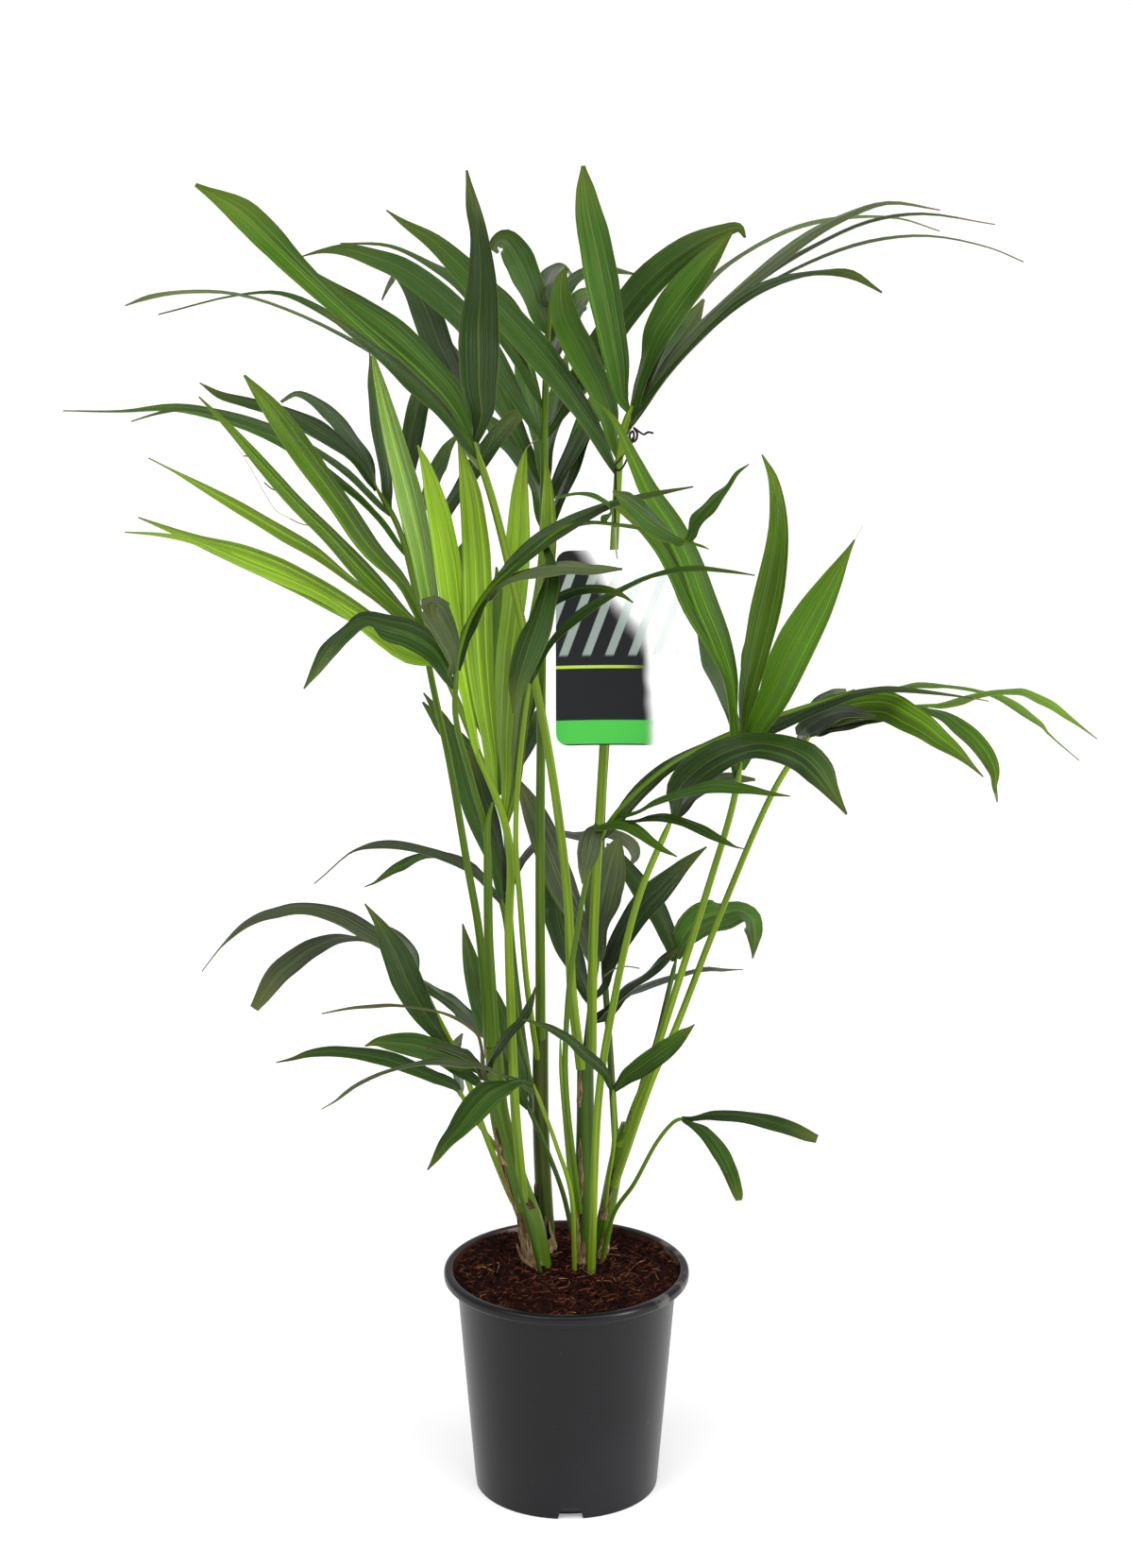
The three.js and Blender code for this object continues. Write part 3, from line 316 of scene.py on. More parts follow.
# %% [markdown]
# ## Lines in space
# The clump is laid out as it looks from in front: a place is so far across and so far up,
# as seen by an eye a few metres away, and is then pushed back along its line of sight.
# A smooth line through such places is the middle of a stalk or of a leaflet. Where the
# places are spaced unevenly, a plain spline swings out past them. Spans timed by the root
# of their length keep it close, which is known as a centripetal spline.

# %% Places and smooth lines
def place(across, up, back):
    """A point in metres, from millimetres across, up and back."""
    stretch = 1 - back / EYE[1]
    return np.array([across * stretch, back, EYE[2] + (up - EYE[2]) * stretch]) / 1000


def unit(vectors):
    return vectors / np.linalg.norm(vectors, axis=-1, keepdims=True)


def ease(value):
    """0 to 1 with a soft start and end."""
    held = np.clip(value, 0, 1)
    return held * held * (3 - 2 * held)


def smooth_line(points, each, power=0.0):
    """A curve through the points, with so many steps between neighbours.

    Spans are timed by this power of their length: 0 is a plain spline, 0.5 a centripetal one."""
    knots = np.vstack([2 * points[0] - points[1], points, 2 * points[-1] - points[-2]])
    gaps = np.linalg.norm(np.diff(knots, axis=0), axis=1) ** power
    spans = len(points) - 1
    at = np.linspace(0, spans, spans * each + 1)
    span = np.minimum(at.astype(int), spans - 1)
    t = (at - span)[:, None]
    before, here, after, later = (knots[span + step] for step in range(4))
    first, middle, last = (gaps[span + step][:, None] for step in range(3))
    leave = middle * ((here - before) / first - (after - before) / (first + middle)) + after - here
    reach = middle * ((later - after) / last - (later - here) / (middle + last)) + after - here
    return (here + leave * t + (3 * (after - here) - 2 * leave - reach) * t ** 2
            + (2 * (here - after) + leave + reach) * t ** 3)


def carried(along, across):
    """An across direction for each step, carried along from the first without twisting."""
    carry = [unit(across - along[0] * np.dot(across, along[0]))]
    for heading in along[1:]:
        carry.append(unit(carry[-1] - heading * np.dot(carry[-1], heading)))
    return np.array(carry)


def lengths(line):
    """How far along a line each of its points is."""
    return np.concatenate([[0], np.cumsum(np.linalg.norm(np.diff(line, axis=0), axis=1))])


def turns(sides):
    """The angles of a ring's points."""
    return np.linspace(0, 2 * np.pi, sides, endpoint=False)


def beside(first, second):
    """Two sets of numbers as the pairs of a table, each stretched to fit the other."""
    return np.stack(np.broadcast_arrays(first, second), axis=-1)


def tube(heap, line, radius, slot, sides, shape=1.0):
    """A round stalk along a line. shape gives the radius's share for each turn of a ring."""
    along = unit(np.gradient(line, axis=0))
    across = carried(along, np.array([1.0, 0, 0]))
    other = np.cross(along, across)
    turn = turns(sides)
    reach = np.broadcast_to(radius, len(line))[:, None] * np.broadcast_to(shape, sides)
    rings = (line[:, None] + across[:, None] * (reach * np.cos(turn))[..., None]
             + other[:, None] * (reach * np.sin(turn))[..., None])
    heap.loft(rings, beside(turn / (2 * np.pi), lengths(line)[:, None] * 10), slot)


corner_test = smooth_line(np.array([[0, 0, 0], [1, 0, 0], [1, 1, 0]], float), 2, 0.5)
print("a bend through three places:", corner_test[:, :2].round(2).tolist())

# %% [markdown]
# ## The sizes of each frond
# A frond is a petiole that runs on as the rachis, with pairs of leaflets along it. These
# are the same sizes that the solids are worked out from. Each leaflet has a root, given
# as how far below the rachis's end it grows, the depth of its tip, and the places that its
# middle line passes through, as (across, up, width seen from in front).

# %% Fronds
FRONDS = {}


def add_frond(name, thick, thin, broad, stalk, *leaflets):
    """Notes the sizes of a frond.

    thick and thin are the radius of its stalk at the foot and at the tip, broad is the full
    width of its leaflets, and stalk has the places of the petiole and rachis. A leaflet is
    the drop of its root below the rachis's end, the depth of its tip, and its places."""
    FRONDS[name] = {"thick": thick, "thin": thin, "broad": broad, "stalk": stalk,
                    "leaflets": leaflets}


def leaflets_so_far():
    return sum(len(frond["leaflets"]) for frond in FRONDS.values())


print("places, widths and radii are in millimetres")

# %% High fronds
add_frond("frond_high_left", 5, 3.4, 38,
    [(14, 434, 18), (5, 515, 8), (0, 620, -4), (-20, 770, -24), (-60, 960, -50), (-85, 1048, -62)],
    (5, -140, [(-110, 1082, 20), (-148, 1120, 24), (-200, 1168, 17), (-240, 1206, 19), (-270, 1236, 27),
        (-295, 1260, 26), (-335, 1284, 2)]),
    (0, 60, [(-100, 1090, 20), (-128, 1124, 22), (-160, 1156, 22), (-190, 1177, 17), (-212, 1191, 10),
        (-236, 1208, 2)]),
    (25, -100, [(-110, 1075, 5), (-140, 1104, 4), (-170, 1127, 3), (-240, 1165, 3), (-300, 1185, 2),
        (-350, 1187, 3), (-380, 1182, 5), (-402, 1174, 1)]),
    (15, -20, [(-110, 1078, 6), (-150, 1110, 7), (-190, 1148, 8), (-225, 1172, 6), (-260, 1186, 3),
        (-300, 1184, 2), (-372, 1166, 1)]),
    (12, -200, [(-115, 1080, 14), (-150, 1113, 14), (-190, 1146, 8), (-226, 1172, 1)]),
    (0, -100, [(-78, 1075, 24), (-80, 1100, 33), (-80, 1131, 38), (-80, 1158, 36), (-78, 1183, 28),
        (-78, 1216, 22), (-80, 1240, 16), (-85, 1265, 13), (-90, 1297, 1)]),
    (8, 240, [(-96, 1090, 18), (-107, 1118, 24), (-117, 1140, 27), (-127, 1168, 28), (-140, 1192, 20),
        (-153, 1203, 8), (-160, 1196, 5), (-168, 1179, 1.5)]),
    (20, 300, [(-95, 1085, 20), (-100, 1110, 28), (-112, 1135, 20), (-120, 1150, 3)]))
add_frond("frond_high_middle", 5, 2.6, 34,
    [(-25, 464, 46), (-25, 655, 54), (-23, 840, 62), (-20, 1055, 70), (-18, 1125, 76), (-15, 1180, 84)],
    (130, 20, [(-45, 1092, 15), (-80, 1148, 24), (-111, 1180, 26), (-149, 1208, 21), (-175, 1218, 17),
        (-200, 1225, 12), (-222, 1224, 4), (-240, 1219, 1)]),
    (100, 130, [(-40, 1120, 10), (-75, 1170, 14), (-95, 1195, 12), (-120, 1211, 7), (-160, 1229, 3),
        (-205, 1231, 1)]),
    (30, 300, [(-24, 1165, 16), (-33, 1193, 27), (-45, 1220, 31), (-56, 1234, 22), (-66, 1229, 10),
        (-62, 1222, 3)]),
    (60, 280, [(-35, 1150, 14), (-60, 1180, 20), (-82, 1200, 16), (-100, 1215, 2)]),
    (40, 180, [(-12, 1160, 10), (-6, 1183, 15), (8, 1200, 11), (33, 1208, 10), (62, 1203, 1.5)]),
    (5, 330, [(-18, 1185, 16), (-12, 1205, 14), (-2, 1208, 8), (7, 1199, 2)]),
    (60, 330, [(-8, 1140, 14), (5, 1170, 24), (16, 1184, 16), (25, 1190, 3)]),
    (128, 40, [(-8, 1075, 11), (5, 1098, 18), (30, 1137, 28), (70, 1192, 31), (110, 1226, 25),
        (140, 1241, 14), (156, 1245, 9), (162, 1236, 2)]),
    (120, 320, [(5, 1090, 16), (25, 1120, 24), (34, 1142, 18), (40, 1160, 3)]))
add_frond("frond_high_right", 5, 3.4, 36,
    [(24, 438, 22), (26, 580, 26), (35, 755, 20), (45, 965, 8), (50, 1045, 2), (60, 1082, 0)],
    (5, -10, [(52, 1090, 14), (49, 1110, 20), (44, 1140, 26), (34, 1192, 31), (24, 1241, 29),
        (20, 1259, 25), (17, 1281, 17), (15, 1301, 3)]),
    (65, 10, [(32, 1052, 14), (10, 1086, 21), (-20, 1127, 27), (-60, 1172, 27), (-90, 1204, 24),
        (-120, 1232, 16), (-148, 1250, 6), (-163, 1261, 1)]),
    (30, 0, [(72, 1122, 14), (80, 1147, 24), (95, 1172, 32), (113, 1196, 28), (132, 1220, 18),
        (150, 1241, 2)]),
    (10, 110, [(90, 1145, 8), (120, 1188, 6), (147, 1213, 4), (200, 1243, 4), (246, 1254, 3),
        (300, 1254, 2), (338, 1242, 1)]),
    (20, -60, [(90, 1120, 8), (130, 1165, 9), (170, 1201, 9), (217, 1237, 10), (250, 1255, 8),
        (290, 1268, 3), (338, 1261, 1)]),
    (15, 30, [(90, 1115, 5), (130, 1160, 5), (176, 1200, 5), (224, 1229, 4), (273, 1251, 3),
        (322, 1258, 2), (388, 1248, 1)]),
    (25, -20, [(80, 1098, 4), (120, 1143, 4), (165, 1183, 3), (220, 1214, 3), (274, 1233, 2.5),
        (328, 1238, 2), (384, 1227, 1.2), (415, 1214, 1)]),
    (12, -120, [(85, 1105, 4), (125, 1150, 6), (160, 1182, 8), (190, 1197, 9), (228, 1205, 4),
        (258, 1203, 9), (287, 1186, 1.5)]),
    (50, 20, [(35, 1090, 24), (15, 1130, 28), (-2, 1165, 26), (-5, 1195, 14), (0, 1210, 2)]),
    (20, 290, [(80, 1110, 18), (100, 1140, 26), (115, 1162, 18), (125, 1180, 3)]))
add_frond("frond_left", 4.2, 2.6, 30,
    [(-75, 445, 24), (-82, 560, 40), (-95, 645, 52), (-110, 740, 72), (-125, 815, 86), (-150, 950, 104),
     (-178, 1010, 112)],
    (75, 150, [(-171, 977, 6), (-211, 1013, 7), (-262, 1049, 10), (-317, 1073, 11), (-360, 1081, 7),
        (-410, 1077, 2.5), (-462, 1077, 1)]),
    (35, 60, [(-191, 1011, 6), (-230, 1041, 7), (-262, 1057, 9), (-310, 1073, 10), (-350, 1080, 6),
        (-375, 1075, 2), (-400, 1067, 1)]),
    (5, 180, [(-190, 1029, 9), (-210, 1047, 15), (-232, 1063, 18), (-262, 1077, 14), (-295, 1086, 9),
        (-318, 1092, 8), (-336, 1103, 1)]),
    (8, 320, [(-185, 1032, 12), (-197, 1050, 16), (-212, 1070, 15), (-228, 1085, 10), (-247, 1093, 6),
        (-262, 1085, 3)]),
    (35, 300, [(-164, 1000, 8), (-167, 1028, 14), (-172, 1068, 15), (-176, 1098, 12), (-178, 1120, 6),
        (-180, 1130, 1)]),
    (80, 190, [(-150, 990, 10), (-146, 1030, 17), (-140, 1065, 22), (-133, 1092, 20), (-124, 1115, 10),
        (-118, 1128, 1)]),
    (90, 300, [(-136, 980, 8), (-128, 1000, 14), (-120, 1022, 17), (-110, 1042, 11), (-99, 1056, 2)]),
    (100, 200, [(-117, 975, 12), (-100, 1002, 15), (-80, 1032, 18), (-60, 1058, 18), (-45, 1073, 14),
        (-34, 1077, 4)]))
print("leaflets so far:", leaflets_so_far())

# %% Young fronds, and the right side
add_frond("frond_young_left", 5, 3, 34,
    [(-42, 296, 10), (-50, 400, 0), (-55, 560, -4), (-55, 665, -8), (-85, 755, -20), (-133, 878, -30)],
    (215, 60, [(-50, 730, 12), (-43, 790, 17), (-33, 850, 18), (-24, 900, 18), (-18, 950, 17),
        (-17, 990, 13), (-18, 1020, 5), (-20, 1035, 1)]),
    (205, 20, [(-60, 730, 11), (-60, 780, 17), (-56, 850, 22), (-49, 906, 24), (-45, 957, 23),
        (-43, 1000, 16), (-40, 1028, 8), (-37, 1042, 1)]),
    (190, -60, [(-68, 740, 12), (-76, 800, 21), (-81, 860, 27), (-82, 910, 28), (-84, 950, 26),
        (-89, 1000, 20), (-95, 1030, 9), (-100, 1052, 1)]),
    (150, -90, [(-95, 830, 16), (-103, 880, 22), (-109, 930, 24), (-117, 975, 22), (-124, 1005, 16),
        (-131, 1030, 8), (-137, 1045, 1)]),
    (60, -110, [(-120, 872, 12), (-127, 905, 19), (-134, 950, 22), (-145, 1000, 24), (-158, 1050, 20),
        (-169, 1095, 11), (-176, 1125, 4), (-178, 1139, 1)]),
    (5, -60, [(-148, 912, 12), (-180, 948, 18), (-208, 990, 21), (-232, 1024, 23), (-252, 1052, 23),
        (-270, 1078, 18), (-284, 1096, 10), (-295, 1110, 2)]),
    (10, -130, [(-160, 897, 14), (-190, 928, 18), (-220, 962, 16), (-250, 993, 12), (-284, 1032, 12),
        (-310, 1062, 7), (-337, 1090, 1)]),
    (15, -40, [(-165, 893, 6), (-195, 915, 7), (-232, 945, 10), (-262, 963, 13), (-300, 986, 13),
        (-335, 1006, 6), (-360, 1020, 2), (-385, 1033, 1)]),
    (40, -180, [(-150, 852, 12), (-183, 879, 16), (-223, 904, 22), (-262, 925, 25), (-300, 941, 20),
        (-335, 953, 11), (-358, 962, 7), (-396, 977, 1)]),
    (42, -200, [(-150, 846, 8), (-223, 902, 12), (-300, 936, 10), (-345, 955, 6), (-377, 961, 3),
        (-409, 963, 1)]),
    (40, 240, [(-112, 870, 18), (-108, 900, 26), (-100, 935, 18), (-90, 960, 3)]))
add_frond("frond_right", 4.2, 3, 38,
    [(58, 368, 40), (66, 394, 40), (80, 432, 40), (108, 525, 26), (137, 625, -4), (155, 690, -24),
     (165, 742, -44)],
    (5, -60, [(160, 790, 8), (156, 825, 11), (146, 860, 18), (130, 900, 24), (117, 935, 22),
        (100, 968, 20), (78, 1000, 18), (62, 1032, 13), (43, 1070, 5), (25, 1088, 1)]),
    (8, -70, [(158, 790, 7), (152, 825, 9), (138, 860, 16), (118, 897, 22), (104, 925, 20), (88, 952, 18),
        (68, 973, 14), (50, 986, 8), (40, 992, 2)]),
    (0, -20, [(164, 765, 8), (167, 800, 14), (174, 840, 25), (182, 880, 29), (189, 915, 26),
        (195, 957, 21), (195, 985, 16), (190, 1015, 9), (180, 1036, 1)]),
    (8, -150, [(169, 755, 12), (178, 778, 22), (190, 800, 29), (204, 835, 36), (216, 860, 37),
        (232, 890, 31), (248, 920, 18), (259, 941, 7), (267, 956, 1)]),
    (10, 260, [(170, 790, 12), (175, 850, 24), (183, 878, 18), (190, 900, 3)]),
    (20, 240, [(158, 780, 10), (140, 830, 20), (130, 858, 14), (120, 880, 3)]))
add_frond("frond_far_right", 4.2, 2.8, 30,
    [(46, 312, 34), (60, 355, 29), (72, 392, 26), (86, 432, 28), (106, 478, 36), (150, 600, 54),
     (195, 712, 68), (236, 778, 76)],
    (5, -60, [(248, 787, 16), (265, 794, 24), (285, 797, 28), (303, 795, 30), (321, 785, 28),
        (336, 776, 25), (351, 764, 19), (367, 752, 12), (381, 739, 5), (393, 727, 1)]),
    (2, 40, [(270, 788, 8), (310, 793, 8), (333, 794, 6), (341, 792, 7), (355, 787, 10), (369, 777, 15),
        (383, 765, 17), (394, 751, 17), (401, 738, 14), (404, 728, 9), (404, 718, 5), (406, 708, 3),
        (407, 702, 1.5)]),
    (0, 120, [(262, 790, 6), (300, 795, 4), (339, 797, 3), (350, 797, 5), (369, 802, 7), (381, 806, 5),
        (400, 810, 5), (419, 811, 7), (429, 810, 8), (442, 804, 9), (456, 797, 8), (468, 788, 6),
        (480, 779, 3), (499, 764, 0.8)]),
    (3, 180, [(256, 798, 5), (290, 808, 4), (317, 815, 3), (329, 817, 5), (342, 817, 5), (354, 816, 3),
        (377, 813, 4), (390, 810, 3), (403, 806, 5), (414, 801, 7), (427, 793, 8), (438, 785, 6),
        (448, 777, 4), (454, 769, 2), (483, 743, 0.8)]),
    (12, 0, [(222, 772, 16), (232, 779, 22), (246, 786, 20), (262, 790, 12), (290, 786, 3)]),
    (8, 60, [(246, 774, 7), (268, 779, 7), (290, 783, 5), (312, 785, 2)]),
    (30, 330, [(225, 775, 10), (240, 800, 18), (252, 808, 12), (262, 812, 3)]))
add_frond("frond_near_right", 4.2, 3, 38,
    [(24, 214, 0), (30, 390, -6), (45, 500, -12), (68, 605, -20), (102, 692, -30)],
    (5, -190, [(104, 712, 24), (121, 732, 32), (148, 750, 30), (178, 759, 21), (202, 756, 26),
        (224, 746, 31), (239, 731, 28), (249, 715, 16), (265, 690, 1)]),
    (5, 80, [(116, 706, 12), (132, 720, 14), (155, 727, 10), (178, 724, 3)]))
print("leaflets so far:", leaflets_so_far())

# %% Middle fronds
add_frond("frond_arching", 3, 2, 22,
    [(13, 284, 12), (0, 405, -4), (0, 480, -12), (8, 560, -24), (30, 662, -40), (80, 725, -46),
     (150, 768, -18), (270, 812, 4)],
    (293, -50, [(30, 676, 8), (25, 671, 17), (22, 661, 22), (20, 649, 21), (17, 635, 12), (15, 621, 1)]),
    (284, -90, [(26, 677, 2), (36, 679, 7), (48, 681, 10), (59, 679, 11), (70, 672, 11), (81, 663, 9),
        (92, 655, 5), (105, 648, 1)]),
    (268, -120, [(64, 684, 2), (76, 687, 5), (89, 688, 7), (101, 686, 8), (114, 682, 9), (127, 676, 10),
        (139, 669, 8), (152, 662, 5), (160, 658, 2), (168, 656, 0.8)]),
    (262, -160, [(66, 693, 2), (80, 701, 4), (100, 709, 7), (117, 714, 9), (134, 718, 12), (148, 718, 12),
        (162, 716, 11), (176, 714, 8), (190, 711, 5), (203, 709, 2.5), (211, 708, 1)]),
    (292, 30, [(45, 680, 10), (58, 699, 14), (75, 719, 15), (95, 737, 13), (125, 753, 12), (160, 766, 11),
        (190, 775, 12), (208, 783, 12), (231, 794, 12), (250, 802, 12), (265, 807, 9), (284, 811, 7),
        (304, 813, 6), (338, 810, 3.5), (373, 805, 1.5), (396, 801, 1)]))
add_frond("frond_low_right", 3, 2.4, 36,
    [(62, 374, 52), (75, 425, 56), (86, 460, 60), (95, 500, 76), (105, 546, 104)],
    (3, 200, [(102, 560, 14), (98, 570, 18), (88, 592, 22), (77, 611, 22), (63, 630, 19), (52, 644, 14),
        (45, 655, 8), (38, 661, 2)]),
    (0, 230, [(109, 562, 20), (117, 575, 30), (130, 586, 35), (140, 590, 34), (150, 591, 30),
        (164, 594, 16), (176, 586, 22), (179, 573, 19), (179, 559, 9), (178, 546, 1)]))
add_frond("frond_inner", 3.4, 2.6, 38,
    [(17, 436, 30), (24, 505, 48), (30, 548, 62)],
    (5, 160, [(30, 565, 14), (31, 585, 26), (34, 605, 36), (38, 625, 38), (42, 642, 32), (46, 655, 20),
        (50, 668, 3)]),
    (40, 150, [(34, 520, 8), (37, 532, 11), (45, 554, 17), (57, 577, 24), (70, 597, 27), (85, 614, 26),
        (99, 628, 20), (112, 641, 13), (123, 650, 7), (133, 658, 1)]),
    (62, 240, [(36, 490, 8), (52, 507, 7), (68, 515, 7.5), (85, 522, 6), (102, 528, 5), (119, 533, 5),
        (137, 536, 5), (152, 535, 2), (169, 535, 0.7)]),
    (60, 30, [(40, 498, 5), (55, 514, 7), (74, 528, 8), (91, 543, 10), (101, 552, 8), (110, 558, 2)]),
    (10, 110, [(20, 565, 12), (10, 590, 20), (-5, 625, 28), (-18, 660, 30), (-30, 690, 24),
        (-40, 712, 12), (-46, 726, 1)]),
    (45, 240, [(12, 530, 14), (3, 555, 26), (-4, 580, 32), (-8, 605, 30), (-12, 630, 20), (-14, 650, 6)]))
add_frond("frond_near_left", 3.6, 1.2, 36,
    [(-66, 446, 25), (-73, 560, 30), (-75, 660, 31), (-88, 718, 4), (-103, 778, -36), (-104, 815, -54),
     (-100, 850, -68), (-80, 897, -88), (-35, 940, -108), (5, 970, -118), (60, 968, -128),
     (118, 952, -136), (132, 947, -140)],
    (346, -180, [(-122, 850, 24), (-145, 866, 28), (-168, 873, 24), (-190, 879, 10), (-208, 866, 15),
        (-222, 851, 17), (-234, 832, 10), (-246, 813, 1)]),
    (331, -240, [(-104, 852, 14), (-112, 872, 26), (-121, 887, 28), (-127, 894, 18), (-124, 880, 6)]),
    (326, -150, [(-98, 862, 10), (-88, 880, 13), (-72, 909, 7), (-52, 933, 12), (-25, 956, 16),
        (0, 971, 16), (20, 981, 12), (44, 991, 5), (84, 1000, 5), (117, 1006, 1)]),
    (96, -150, [(42, 985, 4), (30, 996, 4), (11, 1000, 3), (-12, 995, 1)]),
    (241, -190, [(-55, 918, 5), (-30, 927, 11), (0, 930, 13), (25, 928, 10), (52, 928, 2)]),
    (161, -230, [(-16, 920, 13), (-22, 893, 20), (-30, 868, 26), (-39, 842, 25), (-46, 816, 17),
        (-50, 789, 2)]),
    (23, -200, [(96, 962, 12), (75, 977, 22), (58, 991, 16), (43, 1002, 2)]),
    (23, -150, [(118, 973, 14), (134, 991, 11), (147, 1005, 6), (157, 1019, 3), (168, 1027, 1)]))
add_frond("frond_near_middle", 3, 2.2, 20,
    [(-28, 444, 46), (-38, 520, 20), (-44, 600, -6), (-48, 660, -22), (-46, 720, -34), (-40, 780, -46),
     (-34, 822, -56)],
    (3, -130, [(-19, 853, 6), (10, 883, 9), (45, 906, 6), (81, 923, 4), (118, 929, 5), (150, 926, 3.5),
        (175, 922, 1)]),
    (6, -170, [(-28, 870, 6), (-14, 896, 7), (8, 907, 9), (33, 909, 8), (50, 904, 5), (62, 896, 1)]))
add_frond("frond_mid_left", 3.2, 2.4, 22,
    [(-29, 396, 58), (-45, 465, 62), (-52, 530, 66), (-57, 575, 70), (-62, 606, 76)],
    (2, 40, [(-80, 628, 9), (-98, 641, 9), (-116, 649, 9), (-134, 655, 9), (-150, 659, 9), (-167, 661, 8),
        (-183, 660, 6), (-195, 657, 3), (-207, 651, 1.5), (-230, 630, 1), (-240, 621, 1)]),
    (4, 160, [(-90, 640, 8), (-115, 650, 6), (-130, 650, 4), (-142, 647, 8), (-154, 641, 12),
        (-164, 636, 9), (-175, 628, 5), (-183, 622, 2), (-192, 618, 1)]),
    (8, 150, [(-64, 625, 10), (-70, 647, 14), (-79, 670, 16), (-88, 693, 18), (-94, 711, 17),
        (-100, 734, 15), (-105, 755, 12), (-112, 776, 12), (-125, 796, 7), (-134, 809, 1)]),
    (12, 240, [(-62, 640, 12), (-70, 680, 16), (-77, 705, 16), (-84, 730, 12), (-90, 755, 2)]),
    (6, 330, [(-45, 640, 6), (-25, 664, 8), (-8, 671, 8), (13, 669, 8), (35, 672, 10), (52, 667, 12),
        (63, 658, 14), (65, 648, 10), (61, 640, 2)]))
print("leaflets so far:", leaflets_so_far())

# %% Low fronds and young leaves
add_frond("frond_low_left", 3.4, 2.4, 28,
    [(-46, 288, 24), (-56, 305, 22), (-80, 370, 14), (-100, 435, 6), (-130, 500, -4), (-142, 530, -8)],
    (2, -60, [(-152, 544, 10), (-165, 556, 13), (-180, 567, 16), (-196, 578, 17), (-211, 587, 16),
        (-227, 593, 15), (-245, 597, 13), (-261, 597, 12), (-277, 593, 10), (-291, 589, 8),
        (-306, 581, 6), (-318, 571, 4.5), (-331, 557, 1.3), (-349, 533, 0.8)]),
    (6, 50, [(-148, 535, 6), (-158, 547, 7), (-176, 561, 7), (-191, 566, 5), (-205, 567, 6),
        (-219, 566, 10), (-234, 561, 15), (-248, 554, 19), (-262, 543, 22), (-275, 532, 22),
        (-284, 520, 20), (-292, 507, 15), (-300, 495, 9)]),
    (88, -140, [(-122, 470, 14), (-133, 486, 22), (-143, 503, 27), (-153, 524, 30), (-160, 543, 28),
        (-168, 560, 22), (-178, 580, 10), (-192, 601, 1)]),
    (4, 100, [(-130, 516, 8), (-118, 507, 12), (-108, 500, 14), (-98, 491, 15), (-88, 481, 14),
        (-80, 471, 10), (-73, 459, 2)]),
    (30, 220, [(-145, 530, 10), (-150, 555, 14), (-162, 570, 10), (-175, 580, 2)]))
add_frond("frond_lower_left", 2.8, 2.2, 22,
    [(-58, 338, 30), (-75, 362, 34), (-90, 385, 38), (-104, 412, 44)],
    (2, 40, [(-109, 417, 11), (-126, 425, 13), (-146, 434, 14), (-167, 443, 15), (-188, 448, 15),
        (-208, 451, 12), (-229, 452, 10), (-250, 449, 7), (-264, 444, 3.5), (-280, 440, 1)]),
    (6, 240, [(-105, 430, 10), (-108, 445, 14), (-105, 460, 10), (-100, 470, 2)]))
add_frond("frond_thin_left", 2.4, 1.8, 24,
    [(-24, 214, -2), (-40, 285, -8), (-58, 350, -9), (-70, 395, -11), (-80, 430, -14)],
    (4, -60, [(-88, 436, 14), (-98, 441, 20), (-110, 446, 23), (-126, 452, 23), (-146, 458, 24),
        (-160, 460, 20), (-172, 461, 15), (-183, 461, 8), (-194, 457, 1)]),
    (12, -150, [(-84, 467, 3), (-94, 478, 3), (-111, 488, 2.5), (-130, 494, 2), (-166, 499, 2.5),
        (-186, 498, 3), (-207, 496, 3), (-235, 490, 1)]),
    (1, -40, [(-70, 448, 7), (-63, 460, 8), (-54, 472, 9), (-45, 482, 9), (-38, 493, 9), (-33, 505, 5),
        (-30, 517, 1)]),
    (9, -50, [(-92, 446, 8), (-102, 451, 9), (-113, 455, 8), (-123, 457, 5), (-131, 456, 3),
        (-135, 451, 1)]),
    (18, -20, [(-100, 431, 13), (-112, 436, 10), (-124, 440, 3)]))
add_frond("leaf_front", 2.4, 2, 28,
    [(8, 214, 2), (5, 300, -6), (-10, 355, -18), (-32, 418, -36)],
    (2, -200, [(-42, 422, 6), (-53, 420, 9), (-63, 415, 19), (-73, 410, 26), (-85, 398, 28),
        (-96, 384, 24), (-106, 370, 18), (-117, 357, 13), (-127, 341, 7), (-135, 329, 1)]),
    (10, -130, [(-48, 424, 2), (-63, 428, 2), (-76, 435, 4), (-88, 439, 5), (-100, 440, 6.5),
        (-115, 442, 6.5), (-128, 442, 6.5), (-142, 440, 5), (-155, 437, 4), (-180, 429, 3),
        (-205, 416, 3), (-215, 408, 3.5), (-223, 401, 2), (-237, 392, 0.8)]))
add_frond("leaf_behind", 2.6, 2.2, 26,
    [(6, 262, 25), (-5, 310, 30), (-25, 365, 34), (-38, 396, 36)],
    (2, 60, [(-43, 430, 14), (-50, 450, 18), (-56, 470, 18), (-61, 488, 14), (-66, 505, 8),
        (-71, 520, 1)]),
    (4, 90, [(-46, 410, 10), (-58, 440, 16), (-69, 464, 18), (-77, 482, 18), (-83, 501, 19),
        (-87, 519, 19), (-90, 535, 18), (-93, 550, 14), (-96, 565, 8), (-99, 581, 1)]))
add_frond("leaf_pair_middle", 2.4, 2, 22,
    [(37, 284, 39), (40, 315, 24), (46, 360, 4), (45, 412, -24)],
    (2, -80, [(41, 425, 9), (32, 437, 11), (22, 446, 11), (11, 456, 11), (3, 464, 9.5), (-6, 470, 8),
        (-17, 476, 6.5), (-28, 480, 4), (-42, 484, 1.5)]),
    (2, -40, [(57, 425, 15), (68, 433, 19), (80, 442, 20), (92, 451, 20), (103, 460, 16), (112, 469, 11),
        (118, 474, 5), (123, 479, 1)]))
